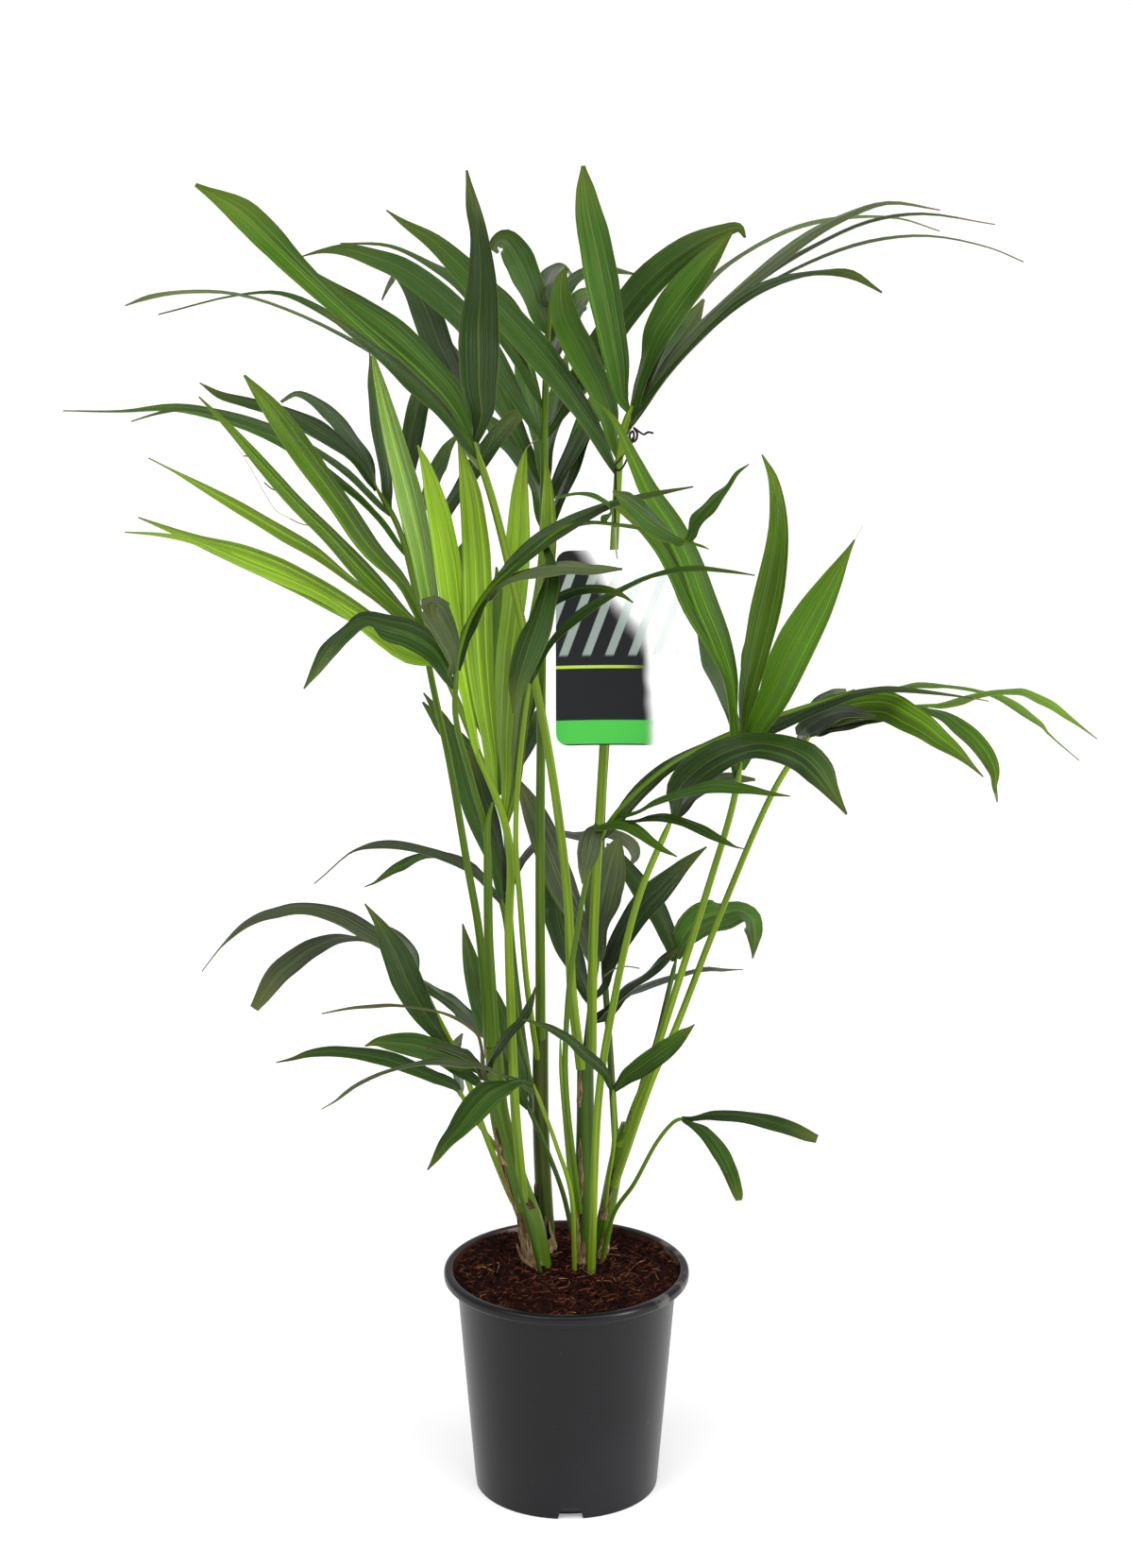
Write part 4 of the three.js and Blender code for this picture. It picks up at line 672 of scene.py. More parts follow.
add_frond("leaf_pair_right", 2.4, 1.8, 20,
    [(31, 214, 26), (45, 280, 18), (66, 315, 4), (86, 355, -8), (102, 377, -14), (113, 383, -16)],
    (2, -60, [(122, 384, 5), (136, 386, 8), (151, 386, 10), (168, 385, 12), (185, 382, 13),
        (203, 377, 15), (220, 371, 14), (233, 365, 12), (243, 361, 8)]),
    (2, -110, [(120, 379, 5), (131, 371, 12), (142, 359, 15), (151, 345, 16), (158, 330, 15),
        (163, 316, 13), (167, 303, 10), (168, 297, 6)]))
print("leaflets so far:", leaflets_so_far())

# %% Rear fronds
add_frond("frond_rear_high", 4.2, 2.8, 32,
    [(-25, 464, 59), (-25, 650, 120), (-24, 830, 170), (-22, 960, 230), (-20, 1010, 270)],
    (5, 520, [(-40, 1050, 14), (-60, 1090, 24), (-72, 1122, 18), (-80, 1150, 2)]),
    (5, 560, [(-18, 1045, 14), (-10, 1080, 26), (-4, 1106, 18), (0, 1130, 2)]),
    (0, 540, [(-26, 1055, 14), (-34, 1095, 24), (-40, 1130, 18), (-45, 1160, 2)]),
    (30, 500, [(0, 1030, 14), (20, 1070, 24), (34, 1098, 16), (45, 1120, 2)]),
    (50, 480, [(-30, 1010, 12), (-50, 1045, 22), (-68, 1064, 16), (-85, 1080, 2)]),
    (60, 450, [(0, 1010, 12), (12, 1050, 20), (22, 1078, 14), (30, 1100, 2)]))
add_frond("frond_rear_left", 3.6, 2.6, 30,
    [(-27, 360, 58), (-40, 450, 80), (-52, 560, 120), (-56, 650, 180), (-60, 710, 240)],
    (0, 460, [(-75, 770, 14), (-92, 820, 24), (-108, 865, 18), (-120, 900, 2)]),
    (0, 500, [(-60, 780, 14), (-61, 840, 24), (-63, 890, 18), (-65, 930, 2)]),
    (5, 480, [(-45, 770, 14), (-33, 820, 24), (-26, 865, 18), (-20, 900, 2)]),
    (20, 380, [(-80, 735, 12), (-102, 762, 22), (-120, 782, 14), (-135, 800, 2)]),
    (20, 400, [(-48, 735, 12), (-38, 762, 22), (-28, 784, 14), (-20, 800, 2)]))
add_frond("frond_rear_right", 3.6, 2.6, 30,
    [(48, 350, 50), (42, 450, 90), (35, 560, 150), (34, 680, 220), (40, 790, 280)],
    (4, 500, [(30, 825, 14), (20, 855, 24), (12, 880, 16), (5, 900, 2)]),
    (12, 480, [(50, 830, 14), (62, 868, 24), (72, 892, 16), (80, 910, 2)]),
    (0, 540, [(42, 835, 14), (45, 875, 24), (45, 905, 16), (45, 930, 2)]),
    (10, 400, [(55, 808, 12), (70, 828, 22), (81, 841, 14), (90, 850, 2)]),
    (15, 410, [(28, 802, 12), (15, 818, 22), (7, 830, 14), (0, 840, 2)]))
print("leaflets so far:", leaflets_so_far())

# %% Stems, as (across, up, back, radius)
STEMS = {
    "stem_left": [(-28, 225, 20, 14), (-35, 275, 20, 12), (-50, 322, 20, 11), (-65, 387, 19, 9.5),
                  (-70, 452, 18, 8.5), (-72, 468, 17, 4.5), (-75, 560, 16, 3.9),
                  (-75, 670, 18, 3.2), (-70, 702, 19, 1.2)],
    "stem_back": [(-18, 232, 51, 9), (-22, 300, 51, 8.5), (-25, 380, 51, 8), (-25, 476, 52, 7.5)],
    "stem_middle": [(15, 225, 20, 11), (17, 300, 21, 9.5), (18, 380, 23, 8.5), (18, 450, 24, 8)],
    "stem_right": [(30, 232, 42, 9), (40, 290, 43, 8), (50, 345, 44, 7.5), (60, 376, 46, 7.5)],
    "young_spear": [(7, 285, 14, 3), (0, 370, 12, 2.8), (-5, 430, 11, 2.2), (-6, 464, 11, 0.8)],
}
print("stems:", len(STEMS))

# %% [markdown]
# ## Leaf finishes
# A kentia leaflet is leathery, with fine veins from end to end. Old leaflets are a deep
# bottle green, the newest ones nearly lime, and dust greys some of them. One recipe makes
# every tone. The veins are noise drawn out along the blade, so they never repeat, and over
# them lie a few straight pale lines where the blade was pleated in the bud. Towards its
# tip a leaflet yellows a little, and its very edge is paler. Painted shade darkens each
# leaflet towards its root, and one half of the folded blade is painted lighter than the
# other, as the half that faces the light.

# %% Leaf tones
def leaf_finish(name, code, roughness, shine):
    """One tone of leaf, after its hex colour. shine is the strength of its white sheen."""
    finish = Finish(name, {"Specular IOR Level": shine})
    blade = finish.marks("blade")
    leaf = finish.marks("leaf")
    run = blade.other("Y")
    light = leaf.other("Y")
    veins = finish.grain(finish.join(blade * 46, run * 0.9), 1.0, 3.0)
    bands = finish.grain(finish.join(blade * 7, run * 0.6), 1.0, 1.0)
    clouds = finish.grain(finish.spot(), 16.0)
    lines = finish.step(finish.wave(blade * 3.2 + bands * 0.7), 0.95, 1.0)
    # painted light: one half of the folded blade is painted lighter than the other half
    half = finish.step(blade, 0.485, 0.515)
    # leaf * 0.25 is painted shade, darker towards the root; half * 0.2 is the painted lit half
    shade = veins * 0.45 + bands * 0.5 + clouds * 0.35 + light * 0.55 + leaf * 0.25 + half * 0.2 - 0.1
    ribbed = finish.blend(finish.step(shade, 0.6, 1.45), paint(code, 0.42), paint(code, 1.2))
    lined = finish.blend(lines * 0.4, ribbed, paint(code, 2.2))
    aside = abs(blade - 0.5)
    edge = finish.step(aside, 0.47, 0.5)
    midrib = 1 - finish.step(aside, 0.008, 0.026)
    yellow = finish.step(leaf, 0.7, 1.05)
    colour = finish.blend(edge * 0.3 + yellow * 0.25 + midrib * 0.2, lined, paint("8c9440"))
    ridges = finish.wave(blade * 6 + bands * 2) * 0.5 + veins * 1.3
    return finish.wear(colour, roughness + clouds * 0.2 - bands * 0.25, ridges, 0.001, 0.9)


TONES = {
    "deep": ("293e14", 0.33, 0.28), "dark": ("324c19", 0.33, 0.24), "mid": ("3c5c1b", 0.34, 0.17),
    "fresh": ("466a14", 0.35, 0.17), "spring": ("5a7f17", 0.36, 0.25), "lime": ("7ca026", 0.36, 0.25),
    "pale": ("80a83f", 0.3, 0.6), "dusty": ("3b4826", 0.4, 0.4), "grey": ("45503a", 0.45, 0.4),
    "brown": ("4b4a2c", 0.5, 0.3), "faded": ("627247", 0.45, 0.3),
}
UNDERSIDE = {"deep": "dusty", "dark": "dusty", "dusty": "grey"}  # the others look alike below
LEAF_FINISHES = [leaf_finish("leaf " + tone, *recipe) for tone, recipe in TONES.items()]
LEAF_FINISHES.append(Finish("dry tip", {"Roughness": 0.8, "Base Color": paint("6b5f45")}).material)
DRY = len(TONES)
tone_number = {tone: number for number, tone in enumerate(TONES)}
print("leaf finishes:", len(LEAF_FINISHES))

# %% [markdown]
# ## One leaflet
# The blade could be a plane with a Solidify and a Simple Deform, but then its veins and
# folds would be out of reach. Here each cross-section is drawn: folded like a roof where
# it leaves the rachis, nearly flat further out, a little wavy at the margins, and pleated
# along the veins. A blade that shows less than its true width is turned away about its
# middle line, so that it looks full again from the side or from above.

# %% A leaflet's middle line
ROWS = 30  # about so many steps along a leaflet
ROOT_WIDE = 5  # millimetres


def middle_line(root, back, points):
    """Middle line of a leaflet, its share of the way at each step, and the width seen there."""
    right, deep, high = 1000 * root
    stretch = 1 - deep / EYE[1]
    flat = np.array([(right / stretch, EYE[2] + (high - EYE[2]) / stretch, ROOT_WIDE)] + points, float)
    way = lengths(flat[:, :2])
    share = way / way[-1]
    depth = deep + (back - deep) * share
    knots = np.array([place(*spot) for spot in zip(flat[:, 0], flat[:, 1], depth)])
    each = max(3, round(ROWS / (len(knots) - 1)))
    line = smooth_line(knots, each, 0.5)
    steps = np.linspace(0, len(knots) - 1, len(line))
    share = np.interp(steps, range(len(knots)), share)
    seen = np.interp(steps, range(len(knots)), flat[:, 2])
    padded = np.concatenate([seen[:1], seen, seen[-1:]])
    return line, share, (padded[:-2] + 2 * padded[1:-1] + padded[2:]) / 4


trial = middle_line(place(0, 500, 0), 0, [(10, 540, 20), (30, 580, 26), (70, 600, 1)])
print("rows of a short leaflet:", len(trial[0]), "widest", trial[2].max().round(1), "mm")

# %% A leaflet's skin
COLUMNS = 15
LEAST_WIDE = 1.6  # millimetres, of the thinnest end
HALF_THICK = 0.00026
KEEL = 0.0006  # how far the midrib stands out below
PLEAT = 0.0005
FOLD = 8  # degrees that each half hangs down
ROOT_FOLD = 38  # and so many more at the root


def leaflet(heap, root, back, points, broad, tone, number, light, dry):
    """Adds one leaflet to the heap. dry is the withered share at its tip."""
    line, share, seen = middle_line(root, back, points)
    rows = len(line)
    along = unit(np.gradient(line, axis=0))
    sight = unit(line - EYE / 1000)
    level = unit(np.cross(along, sight))
    away = unit(sight - along * np.sum(sight * along, axis=1)[:, None])
    skyward = -1 if level[int(0.3 * rows), 2] < 0 else 1
    swell = np.sin(np.pi * (0.05 + 0.95 * share) ** 0.92)
    wide = np.maximum(np.maximum(seen, LEAST_WIDE), np.minimum(broad * swell, 4 * seen))
    shown = np.minimum(1, seen / wide)[:, None]
    across = level * shown + away * skyward * np.sqrt(1 - shown ** 2)
    ridge = np.cross(along, across)

    half = wide / 2000
    fold = np.radians(FOLD + ROOT_FOLD * (1 - ease(share / 0.22)))[:, None]
    side = np.sin(np.linspace(-1, 1, COLUMNS) * np.pi / 2)
    roof = np.sqrt(side ** 2 + 0.004) - 0.06
    wave = np.sin(2 * np.pi * (2.6 * share[:, None] + number * 0.37)) * 0.05 * side * abs(side)
    fade = ease(share / 0.1) * ease((1 - share) / 0.1) * np.minimum(1, wide / 18)
    pleat = PLEAT * np.cos(side * np.pi * 6) * fade[:, None]
    sideways = half[:, None] * side / (1 + 0.06 * fold)
    height = half[:, None] * (wave - roof * np.sin(fold)) + pleat
    keel = KEEL * np.exp(-(side / 0.06) ** 2)
    thick = HALF_THICK * (1 - 0.5 * share)[:, None]

    def skin(columns, lift):
        return (line[:, None] + across[:, None] * sideways[:, columns, None]
                + ridge[:, None] * (height[:, columns] + lift[:, columns])[..., None])

    under = np.arange(COLUMNS)
    over = np.arange(COLUMNS - 2, 0, -1)
    rim = np.where(abs(side) > 0.999, 0.0, 1.0)
    rings = np.concatenate([skin(under, -(thick + keel) * rim), skin(over, thick * rim)], axis=1)
    from_left = np.concatenate([side, side[over]]) / 2 + 0.5
    run = lengths(line)[:, None] * 3 + 3.1 * number
    slots = np.full((rows - 1, 2 * COLUMNS - 2), tone_number[tone])
    slots[:, :COLUMNS - 1] = tone_number[UNDERSIDE.get(tone, tone)]
    slots[share[1:] > 1 - dry] = DRY
    leaf = beside(share[:, None], np.full(len(from_left), light))
    heap.loft(rings, beside(from_left, run), slots, leaf)


print("faces round a leaflet:", 2 * COLUMNS - 2)

# %% [markdown]
# ## Whole fronds
# Every leaflet grows from the rachis at its own root. The newest frond is lime green, the
# next one a fresh green, and the old ones are deep green. On an old frond single leaflets
# differ: some are dusty, some show their dull underside, and some have withered tips.

# %% Tones by frond
FROND_TONES = {
    "frond_high_left": "dark", "frond_young_left": "lime", "frond_right": "fresh",
    "frond_arching": "mid", "frond_near_middle": "mid", "frond_near_left": "mid",
    "frond_inner": "deep", "frond_low_right": "dark", "frond_mid_left": "mid",
    "frond_rear_high": "mid", "frond_rear_left": "mid", "frond_rear_right": "mid",
}
LEAFLET_TONES = {
    "frond_high_left": {0: "fresh", 1: "mid", 2: "faded", 3: "mid", 5: "deep", 7: "deep"},
    "frond_high_middle": {2: "mid", 3: "mid", 6: "mid"},
    "frond_high_right": {0: "mid", 2: "mid", 3: "faded", 4: "faded", 5: "dusty", 6: "faded",
                         8: "mid"},
    "frond_left": {0: "mid", 3: "dark"},
    "frond_young_left": {4: "pale", 5: "spring", 6: "spring", 10: "fresh"},
    "frond_right": {2: "spring", 4: "dark", 5: "dark"},
    "frond_far_right": {0: "spring", 1: "fresh", 2: "spring", 3: "spring", 4: "grey", 5: "dusty"},
    "frond_arching": {0: "dusty", 1: "fresh", 4: "dark"},
    "frond_low_right": {1: "mid"},
    "frond_inner": {0: "dusty", 1: "dark", 4: "dusty", 5: "dark"},
    "frond_near_left": {0: "dark", 1: "dusty", 2: "dark", 4: "faded", 5: "dark"},
    "frond_mid_left": {0: "dusty", 2: "dark", 3: "deep", 4: "dusty"},
    "frond_low_left": {0: "dusty", 1: "dusty", 2: "deep"},
    "frond_thin_left": {0: "dark", 1: "brown", 3: "dusty"},
    "leaf_front": {1: "dusty"},
    "leaf_pair_middle": {1: "mid"},
}
DRY_TIPS = {
    "frond_high_right": {3: 0.03, 4: 0.03, 5: 0.05},
    "frond_far_right": {1: 0.03, 2: 0.05, 3: 0.03},
    "frond_left": {0: 0.03, 2: 0.02}, "frond_arching": {4: 0.03},
    "frond_young_left": {7: 0.01, 8: 0.02}, "leaf_front": {1: 0.04},
}
print("leaflets with a tone of their own:", sum(len(tones) for tones in LEAFLET_TONES.values()))

# %% Stalk finishes
def stalk_finish(name, code):
    """A smooth stalk, with fine streaks from end to end."""
    finish = Finish(name, {"Specular IOR Level": 0.22})
    around = finish.marks("blade")
    streaks = finish.grain(finish.join(around * 9, around.other("Y") * 0.5), 1.0, 3.0)
    clouds = finish.grain(finish.spot(), 11.0)
    green = finish.blend(finish.step(streaks, 0.3, 0.7), paint(code, 0.55), paint(code, 1.12))
    colour = finish.blend(finish.step(clouds, 0.45, 0.75) * 0.3, green, paint(code, 1.4))
    return finish.wear(colour, 0.34 + streaks * 0.15, streaks, 0.0004, 0.4)


STALK_CODES = {
    "fresh": "6a8519", "green": "4d690e", "moss": "3a5410", "olive": "414c1b", "grey": "5c5848",
    "husk": "7d6a4c", "bark": "3f2a1c", "cream": "c9c3ae",
}
stalk_finishes = {name: stalk_finish("stalk " + name, code) for name, code in STALK_CODES.items()}
print("stalk finishes:", len(stalk_finishes))

# %% Papery finish, for dead sheaths
papery = Finish("papery sheath", {"Specular IOR Level": 0.15})
around = papery.marks("blade")
strands = papery.grain(papery.join(around * 11, around.other("Y") * 1.4), 1.0, 4.0)
patches = papery.grain(papery.join(around * 2.5, around.other("Y") * 2.5), 1.0, 3.0)
tan = papery.blend(papery.step(strands + patches * 0.7, 0.62, 1.0), paint("4a3826"), paint("8f7a58"))
worn_tan = papery.blend(papery.step(strands, 0.58, 0.72) * 0.8, tan, paint("cdc2a8"))
stalk_finishes["papery"] = papery.wear(worn_tan, 0.75 + strands * 0.2, strands, 0.001, 0.7)
stalk_number = {name: number for number, name in enumerate(stalk_finishes)}
print("papery is finish number", stalk_number["papery"])

# %% Leaflets on their rachis
STALK_TONE = {
    "frond_high_left": "fresh", "frond_high_middle": "green", "frond_left": "green",
    "frond_rear_high": "moss", "frond_rear_left": "moss", "frond_rear_right": "moss",
    "frond_mid_left": "green", "leaf_behind": "moss", "frond_low_right": "moss",
    "frond_near_left": "green", "frond_arching": "green", "frond_inner": "moss",
    "leaf_pair_right": "green", "frond_thin_left": "moss",
}
STALK_SIDES = 12
MIDDLE = ("frond_far_right", "frond_near_right", "frond_near_left", "frond_near_middle",
          "frond_arching")
heaps = {name: Heap("leaflets_" + name, LEAF_FINISHES)
         for name in ("young", "high", "middle", "low", "rear")}
stalks = Heap("petioles", list(stalk_finishes.values()))


def heap_of(name):
    if name in ("frond_young_left", "frond_right"):
        return "young"
    if "rear" in name:
        return "rear"
    if "high" in name or name == "frond_left":
        return "high"
    return "middle" if name in MIDDLE else "low"


def grow(name, frond, number):
    """The stalk, with a channel down its front, and the leaflets of one frond."""
    line = smooth_line(np.array([place(*point) for point in frond["stalk"]]), 12)
    share = np.linspace(0, 1, len(line))
    radius = (frond["thick"] + (frond["thin"] - frond["thick"]) * share) / 1000
    radius = radius * (1 - 0.55 * ease((share - 0.93) / 0.07))
    channel = 1 - 0.16 * np.exp(-((turns(STALK_SIDES) - 1.5 * np.pi) / 0.5) ** 2)
    slot = stalk_number[STALK_TONE.get(name, "fresh")]
    tube(stalks, line, radius, slot, STALK_SIDES, channel)
    way = lengths(line)
    for index, (down, back, points) in enumerate(frond["leaflets"]):
        root = np.array([np.interp(way[-1] - down / 1000, way, line[:, axis]) for axis in range(3)])
        tone = LEAFLET_TONES.get(name, {}).get(index, FROND_TONES.get(name, "dark"))
        dry = DRY_TIPS.get(name, {}).get(index, 0.0)
        leaflet(heaps[heap_of(name)], root, back, points, frond["broad"], tone,
                number, dice.uniform(0.1, 0.9), dry)
        number += 1
    return number


count = 0
for name, frond in FRONDS.items():
    count = grow(name, frond, count)
for key, heap in heaps.items():
    members = [name for name in FRONDS if heap_of(name) == key]
    heap.make("frond_bright" if key == "young" else "frond_dark", members)

# %% [markdown]
# ## Stems
# What looks like a stem is a roll of leaf bases, each wrapped round the next younger one.
# It is smooth and green. Where an old base has died, its rim stands off as a papery brown
# sheath with a torn edge, so a sheath is lofted as an open scale that follows its stem.

# %% Stem relief
STEM_SIDES = 28
stem_lines = {}


def grow_stem(name, points, tone):
    """A stem with low ribs from end to end."""
    line = smooth_line(np.array([place(*point[:3]) for point in points]), 14)
    steps = np.linspace(0, len(points) - 1, len(line))
    spread = np.interp(steps, range(len(points)), [point[3] / 1000 for point in points])
    stem_lines[name] = (line, spread)
    turn = turns(STEM_SIDES)
    ribs = 1 + 0.025 * np.sin(7 * turn) + 0.02 * np.cos(turn * 3 + 1)
    tube(stalks, line, spread, stalk_number[tone], STEM_SIDES, ribs)


STEM_TONES = {"stem_left": "green", "stem_back": "olive", "stem_middle": "moss",
              "stem_right": "green", "young_spear": "fresh"}
for name, points in STEMS.items():
    grow_stem(name, points, STEM_TONES[name])
print("stems as relief:", len(stem_lines))

# %% Papery sheaths
SHEATH_ROWS = 14
SHEATH_COLUMNS = 18


def sheath(stem, low, high, facing, wide, flare, torn, tone="papery"):
    """A dry scale on a stem, from one height to another in millimetres.

    facing and wide are degrees round the stem, with 0 to the right and -90 to the front.
    flare is how far it stands off at the top, and torn how ragged its top edge is."""
    line, spread = stem_lines[stem]
    side = np.linspace(-1, 1, SHEATH_COLUMNS)
    ends = high - (high - low) * torn * (dice.uniform(0, 0.7, SHEATH_COLUMNS) + 0.3 * side ** 2)
    rings = []
    for share in np.linspace(0, 1, SHEATH_ROWS):
        edge = wide * (1 - 0.55 * share + 0.12 * math.sin(7 * share + facing))
        turn = np.radians(facing + edge * side + 9 * math.sin(4 * share + low))
        up = (low + (ends - low) * share) / 1000
        middle = np.stack([np.interp(up, line[:, 2], line[:, axis]) for axis in range(2)], axis=1)
        reach = np.interp(up, line[:, 2], spread) + (0.4 + flare * share ** 2) / 1000
        reach = reach + 0.0004 * np.sin(5 * turn + 9 * share)
        way = np.stack([np.cos(turn), np.sin(turn)], axis=1)
        outer = np.column_stack([middle + way * (reach + 0.0006)[:, None], up])
        inner = np.column_stack([middle + way * reach[:, None], up])
        rings.append(np.concatenate([outer, inner[::-1]]))
    around = np.concatenate([np.linspace(0, 1, SHEATH_COLUMNS), np.linspace(1, 0, SHEATH_COLUMNS)])
    rise = np.linspace(low, high, SHEATH_ROWS)[:, None] / 22
    stalks.loft(np.array(rings), beside(around, rise), stalk_number[tone])


SHEATHS = [
    ("stem_left", 216, 282, -118, 58, 2, 0.5),
    ("stem_left", 214, 246, -165, 70, 4, 0.5),
    ("stem_left", 262, 352, -150, 26, 1, 0.6),
    ("stem_left", 330, 372, -130, 26, 1.5, 0.7),
    ("stem_left", 284, 306, -60, 20, 1, 0.6, "bark"),
    ("stem_back", 220, 268, -70, 52, 2, 0.8),
    ("stem_back", 222, 300, -140, 34, 1.5, 0.8, "bark"),
    ("stem_middle", 216, 300, -116, 30, 1.5, 0.5),
    ("stem_middle", 288, 362, -120, 24, 1, 0.5),
    ("stem_middle", 388, 430, -128, 22, 1, 0.6),
    ("stem_middle", 218, 252, -95, 26, 2, 0.7),
    ("stem_right", 262, 318, -112, 34, 1.2, 0.6),
    ("stem_right", 220, 254, -70, 46, 1.5, 0.7),
    ("stem_right", 338, 376, -80, 44, 1.5, 0.5, "fresh"),
]
for scale in SHEATHS:
    sheath(*scale)
print("sheaths:", len(SHEATHS))

# %% [markdown]
# ## Threads
# Kentia leaflets leave the bud joined by a thread along their margins, and scraps of it
# hang on for years: brown or white filaments at the ends of leaflets and rachises. They
# are lofted like very thin stalks.

# %% Threads and stubs, as a tone, a radius in millimetres, and places
THREADS = [
    ("bark", 0.6, [(-297, 1035, -60), (-292, 1034, -60), (-288, 1031, -60)]),
    ("bark", 0.6, [(-279, 1010, -60), (-272, 1004, -60), (-263, 1001, -60)]),
    ("husk", 0.5, [(-256, 976, -60), (-246, 971, -60), (-236, 969, -60)]),
    ("cream", 0.4, [(-303, 1043, -60), (-292, 1025, -60), (-281, 1004, -60), (-269, 984, -60),
                    (-256, 976, -60)]),
    ("cream", 0.4, [(267, 956, -40), (271, 963, -41), (274, 969, -42)]),
    ("husk", 0.5, [(-37, 1042, -30), (-32, 1047, -30), (-27, 1050, -30)]),
    ("husk", 0.5, [(3, 967, -120), (27, 971, -120), (65, 969, -120), (98, 955, -120), (109, 954, -120)]),
    ("grey", 0.7, [(36, 528, -10), (45, 535, -10), (57, 538, -10), (70, 536, -10)]),
]
for tone, radius, places in THREADS:
    line = smooth_line(np.array([place(*spot) for spot in places]), 6)
    tube(stalks, line, radius / 1000, stalk_number[tone], 6)
stalks.make("stem", list(STEMS))

# %% [markdown]
# ## The pot
# The pot is blown from black plastic: a thin tapered wall with a rolled lip, a step a
# little below it, and a foot ring with drain notches. It is turned from one profile, and
# the notches are cut with a Boolean, which keeps their edges crisp. The plastic is nearly
# black, and what one sees of it is mostly the white room in its satin skin.

# %% Pot plastic
pot_finish = Finish("black pot plastic", {"Specular IOR Level": 0.28})
spot = pot_finish.spot()
dust = pot_finish.grain(spot, 7.0, 6.0)
grit = pot_finish.grain(spot, 260.0, 2.0)
rub = pot_finish.grain(spot, 42.0, 5.0)
right = pot_finish.node("SeparateXYZ", None, {0: spot})
behind = right.other("Y")
height = right.other("Z")
# painted highlight: pale marks on the right of the rim stand in for glints there, over rubbed wear
rim_only = pot_finish.step(height, 0.2165, 0.219) * pot_finish.step(right, 0.07, 0.1)
glints_and_wear = pot_finish.step(rub, 0.5, 0.62) * rim_only
soot = pot_finish.blend(pot_finish.step(dust, 0.42, 0.75), paint("0d0d11"), paint("17171c"))
far_out = right * right + behind * behind
inner_wall = 1 - pot_finish.step(far_out, 0.0125, 0.0129)  # the square of the radius
soiled = inner_wall * pot_finish.step(rub, 0.3, 0.6) * pot_finish.step(height, 0.217, 0.2195)
soot = pot_finish.blend(soiled * 0.8, soot, paint("4a2d20"))
fleck = pot_finish.step(grit, 0.74, 0.78) * 0.12 + glints_and_wear * 0.3
black = pot_finish.wear(pot_finish.blend(fleck, soot, paint("8f8c88")),
                        0.24 + dust * 0.14, dust + grit * 0.1, 0.0005, 0.2)
print("pot plastic: near black, with flecks of dust")

# %% Pot, turned from (radius, height), from its underside up the outside and in again
POT_PROFILE = [
    (0.5, 0.3), (62, 0.3), (65, 9), (78, 9), (78.5, 1), (80, 1), (80.5, 9), (85, 9), (86, 0.6),
    (86.8, 0), (89.2, 0), (90, 0.8), (90.5, 6), (91.1, 14), (91.2, 15), (92.6, 32), (96.2, 76),
    (101.2, 137), (104.5, 178), (106.6, 204), (106.9, 207.4), (107.6, 208), (107.7, 212),
    (108.2, 215), (109.6, 216.6), (111.5, 217), (117.4, 217), (118.8, 217.5), (119.7, 218.6),
    (120, 220.4), (120, 223.6), (119.6, 225.2), (118.3, 226.5), (116.5, 227), (113.4, 227),
    (111.8, 226.3), (111, 224.6), (110.7, 222), (106.4, 216), (104.7, 205), (104, 202.5), (0.5, 202),
]
POT_SIDES = 144
turn = turns(POT_SIDES)
rings = [np.stack([radius * np.cos(turn), radius * np.sin(turn), np.full(POT_SIDES, up)], axis=1)
         for radius, up in POT_PROFILE]
pot_heap = Heap("nursery_pot", [black])
pot_heap.loft(np.array(rings) / 1000, (0.0, 0.0), 0)
pot = pot_heap.make("pot", ["pot"], 35)

# %% Drain notches
NOTCHES = 4
FIRST_NOTCH = 2.5  # degrees from straight in front
NOTCH_CORNERS = [(-0.013, -0.002), (0.013, -0.002), (0.0102, 0.0086), (-0.0102, 0.0086)]
NOTCH_REACH = (0.081, 0.096)  # from inside the foot ring to outside it
cutters = Heap("notch_cutters", [black])
for notch in range(NOTCHES):
    spin = 2 * math.pi * notch / NOTCHES - math.pi / 2 + math.radians(FIRST_NOTCH)
    out = np.array([math.cos(spin), math.sin(spin), 0])
    side = np.array([-math.sin(spin), math.cos(spin), 0])
    ring = np.array([side * across + [0, 0, up] for across, up in NOTCH_CORNERS])
    cutters.loft(np.array([ring + out * reach for reach in NOTCH_REACH]), (0.0, 0.0), 0)
cutter = cutters.make("pot", [])
cut = pot.modifiers.new("notches", "BOOLEAN")
cut.operation = "DIFFERENCE"
cut.solver = "EXACT"
cut.object = cutter
bpy.context.view_layer.update()
shape = bpy.data.meshes.new_from_object(pot.evaluated_get(bpy.context.evaluated_depsgraph_get()))
pot.modifiers.remove(cut)
pot.data = shape
bpy.data.objects.remove(cutter)
print("pot faces after the cuts:", len(shape.polygons))

# %% [markdown]
# ## Potting mix
# The mix is coir, filled up to the rim: a dark felt of fine curved fibres, with crumbs
# between them and a few straw-coloured fibres on top. A lumpy skin carries thousands of
# them, each a short loft, so the edge looks loose.

# %% Coir
def crumb_finish(name, code):
    finish = Finish(name, {"Specular IOR Level": 0.1})
    lumps = finish.grain(finish.spot(), 160.0, 4.0)
    colour = finish.blend(finish.step(lumps, 0.35, 0.7), paint(code, 0.4), paint(code, 1.5))
    return finish.wear(colour, 0.85 + lumps * 0.1, lumps, 0.003, 0.7)


mix = Heap("potting_mix", [
    crumb_finish("coir dark", "1f0e0a"), crumb_finish("coir red", "3a1b12"),
    crumb_finish("coir tan", "6b3d29"), crumb_finish("coir straw", "9c7350"),
])
print("coir colours:", len(mix.finishes))

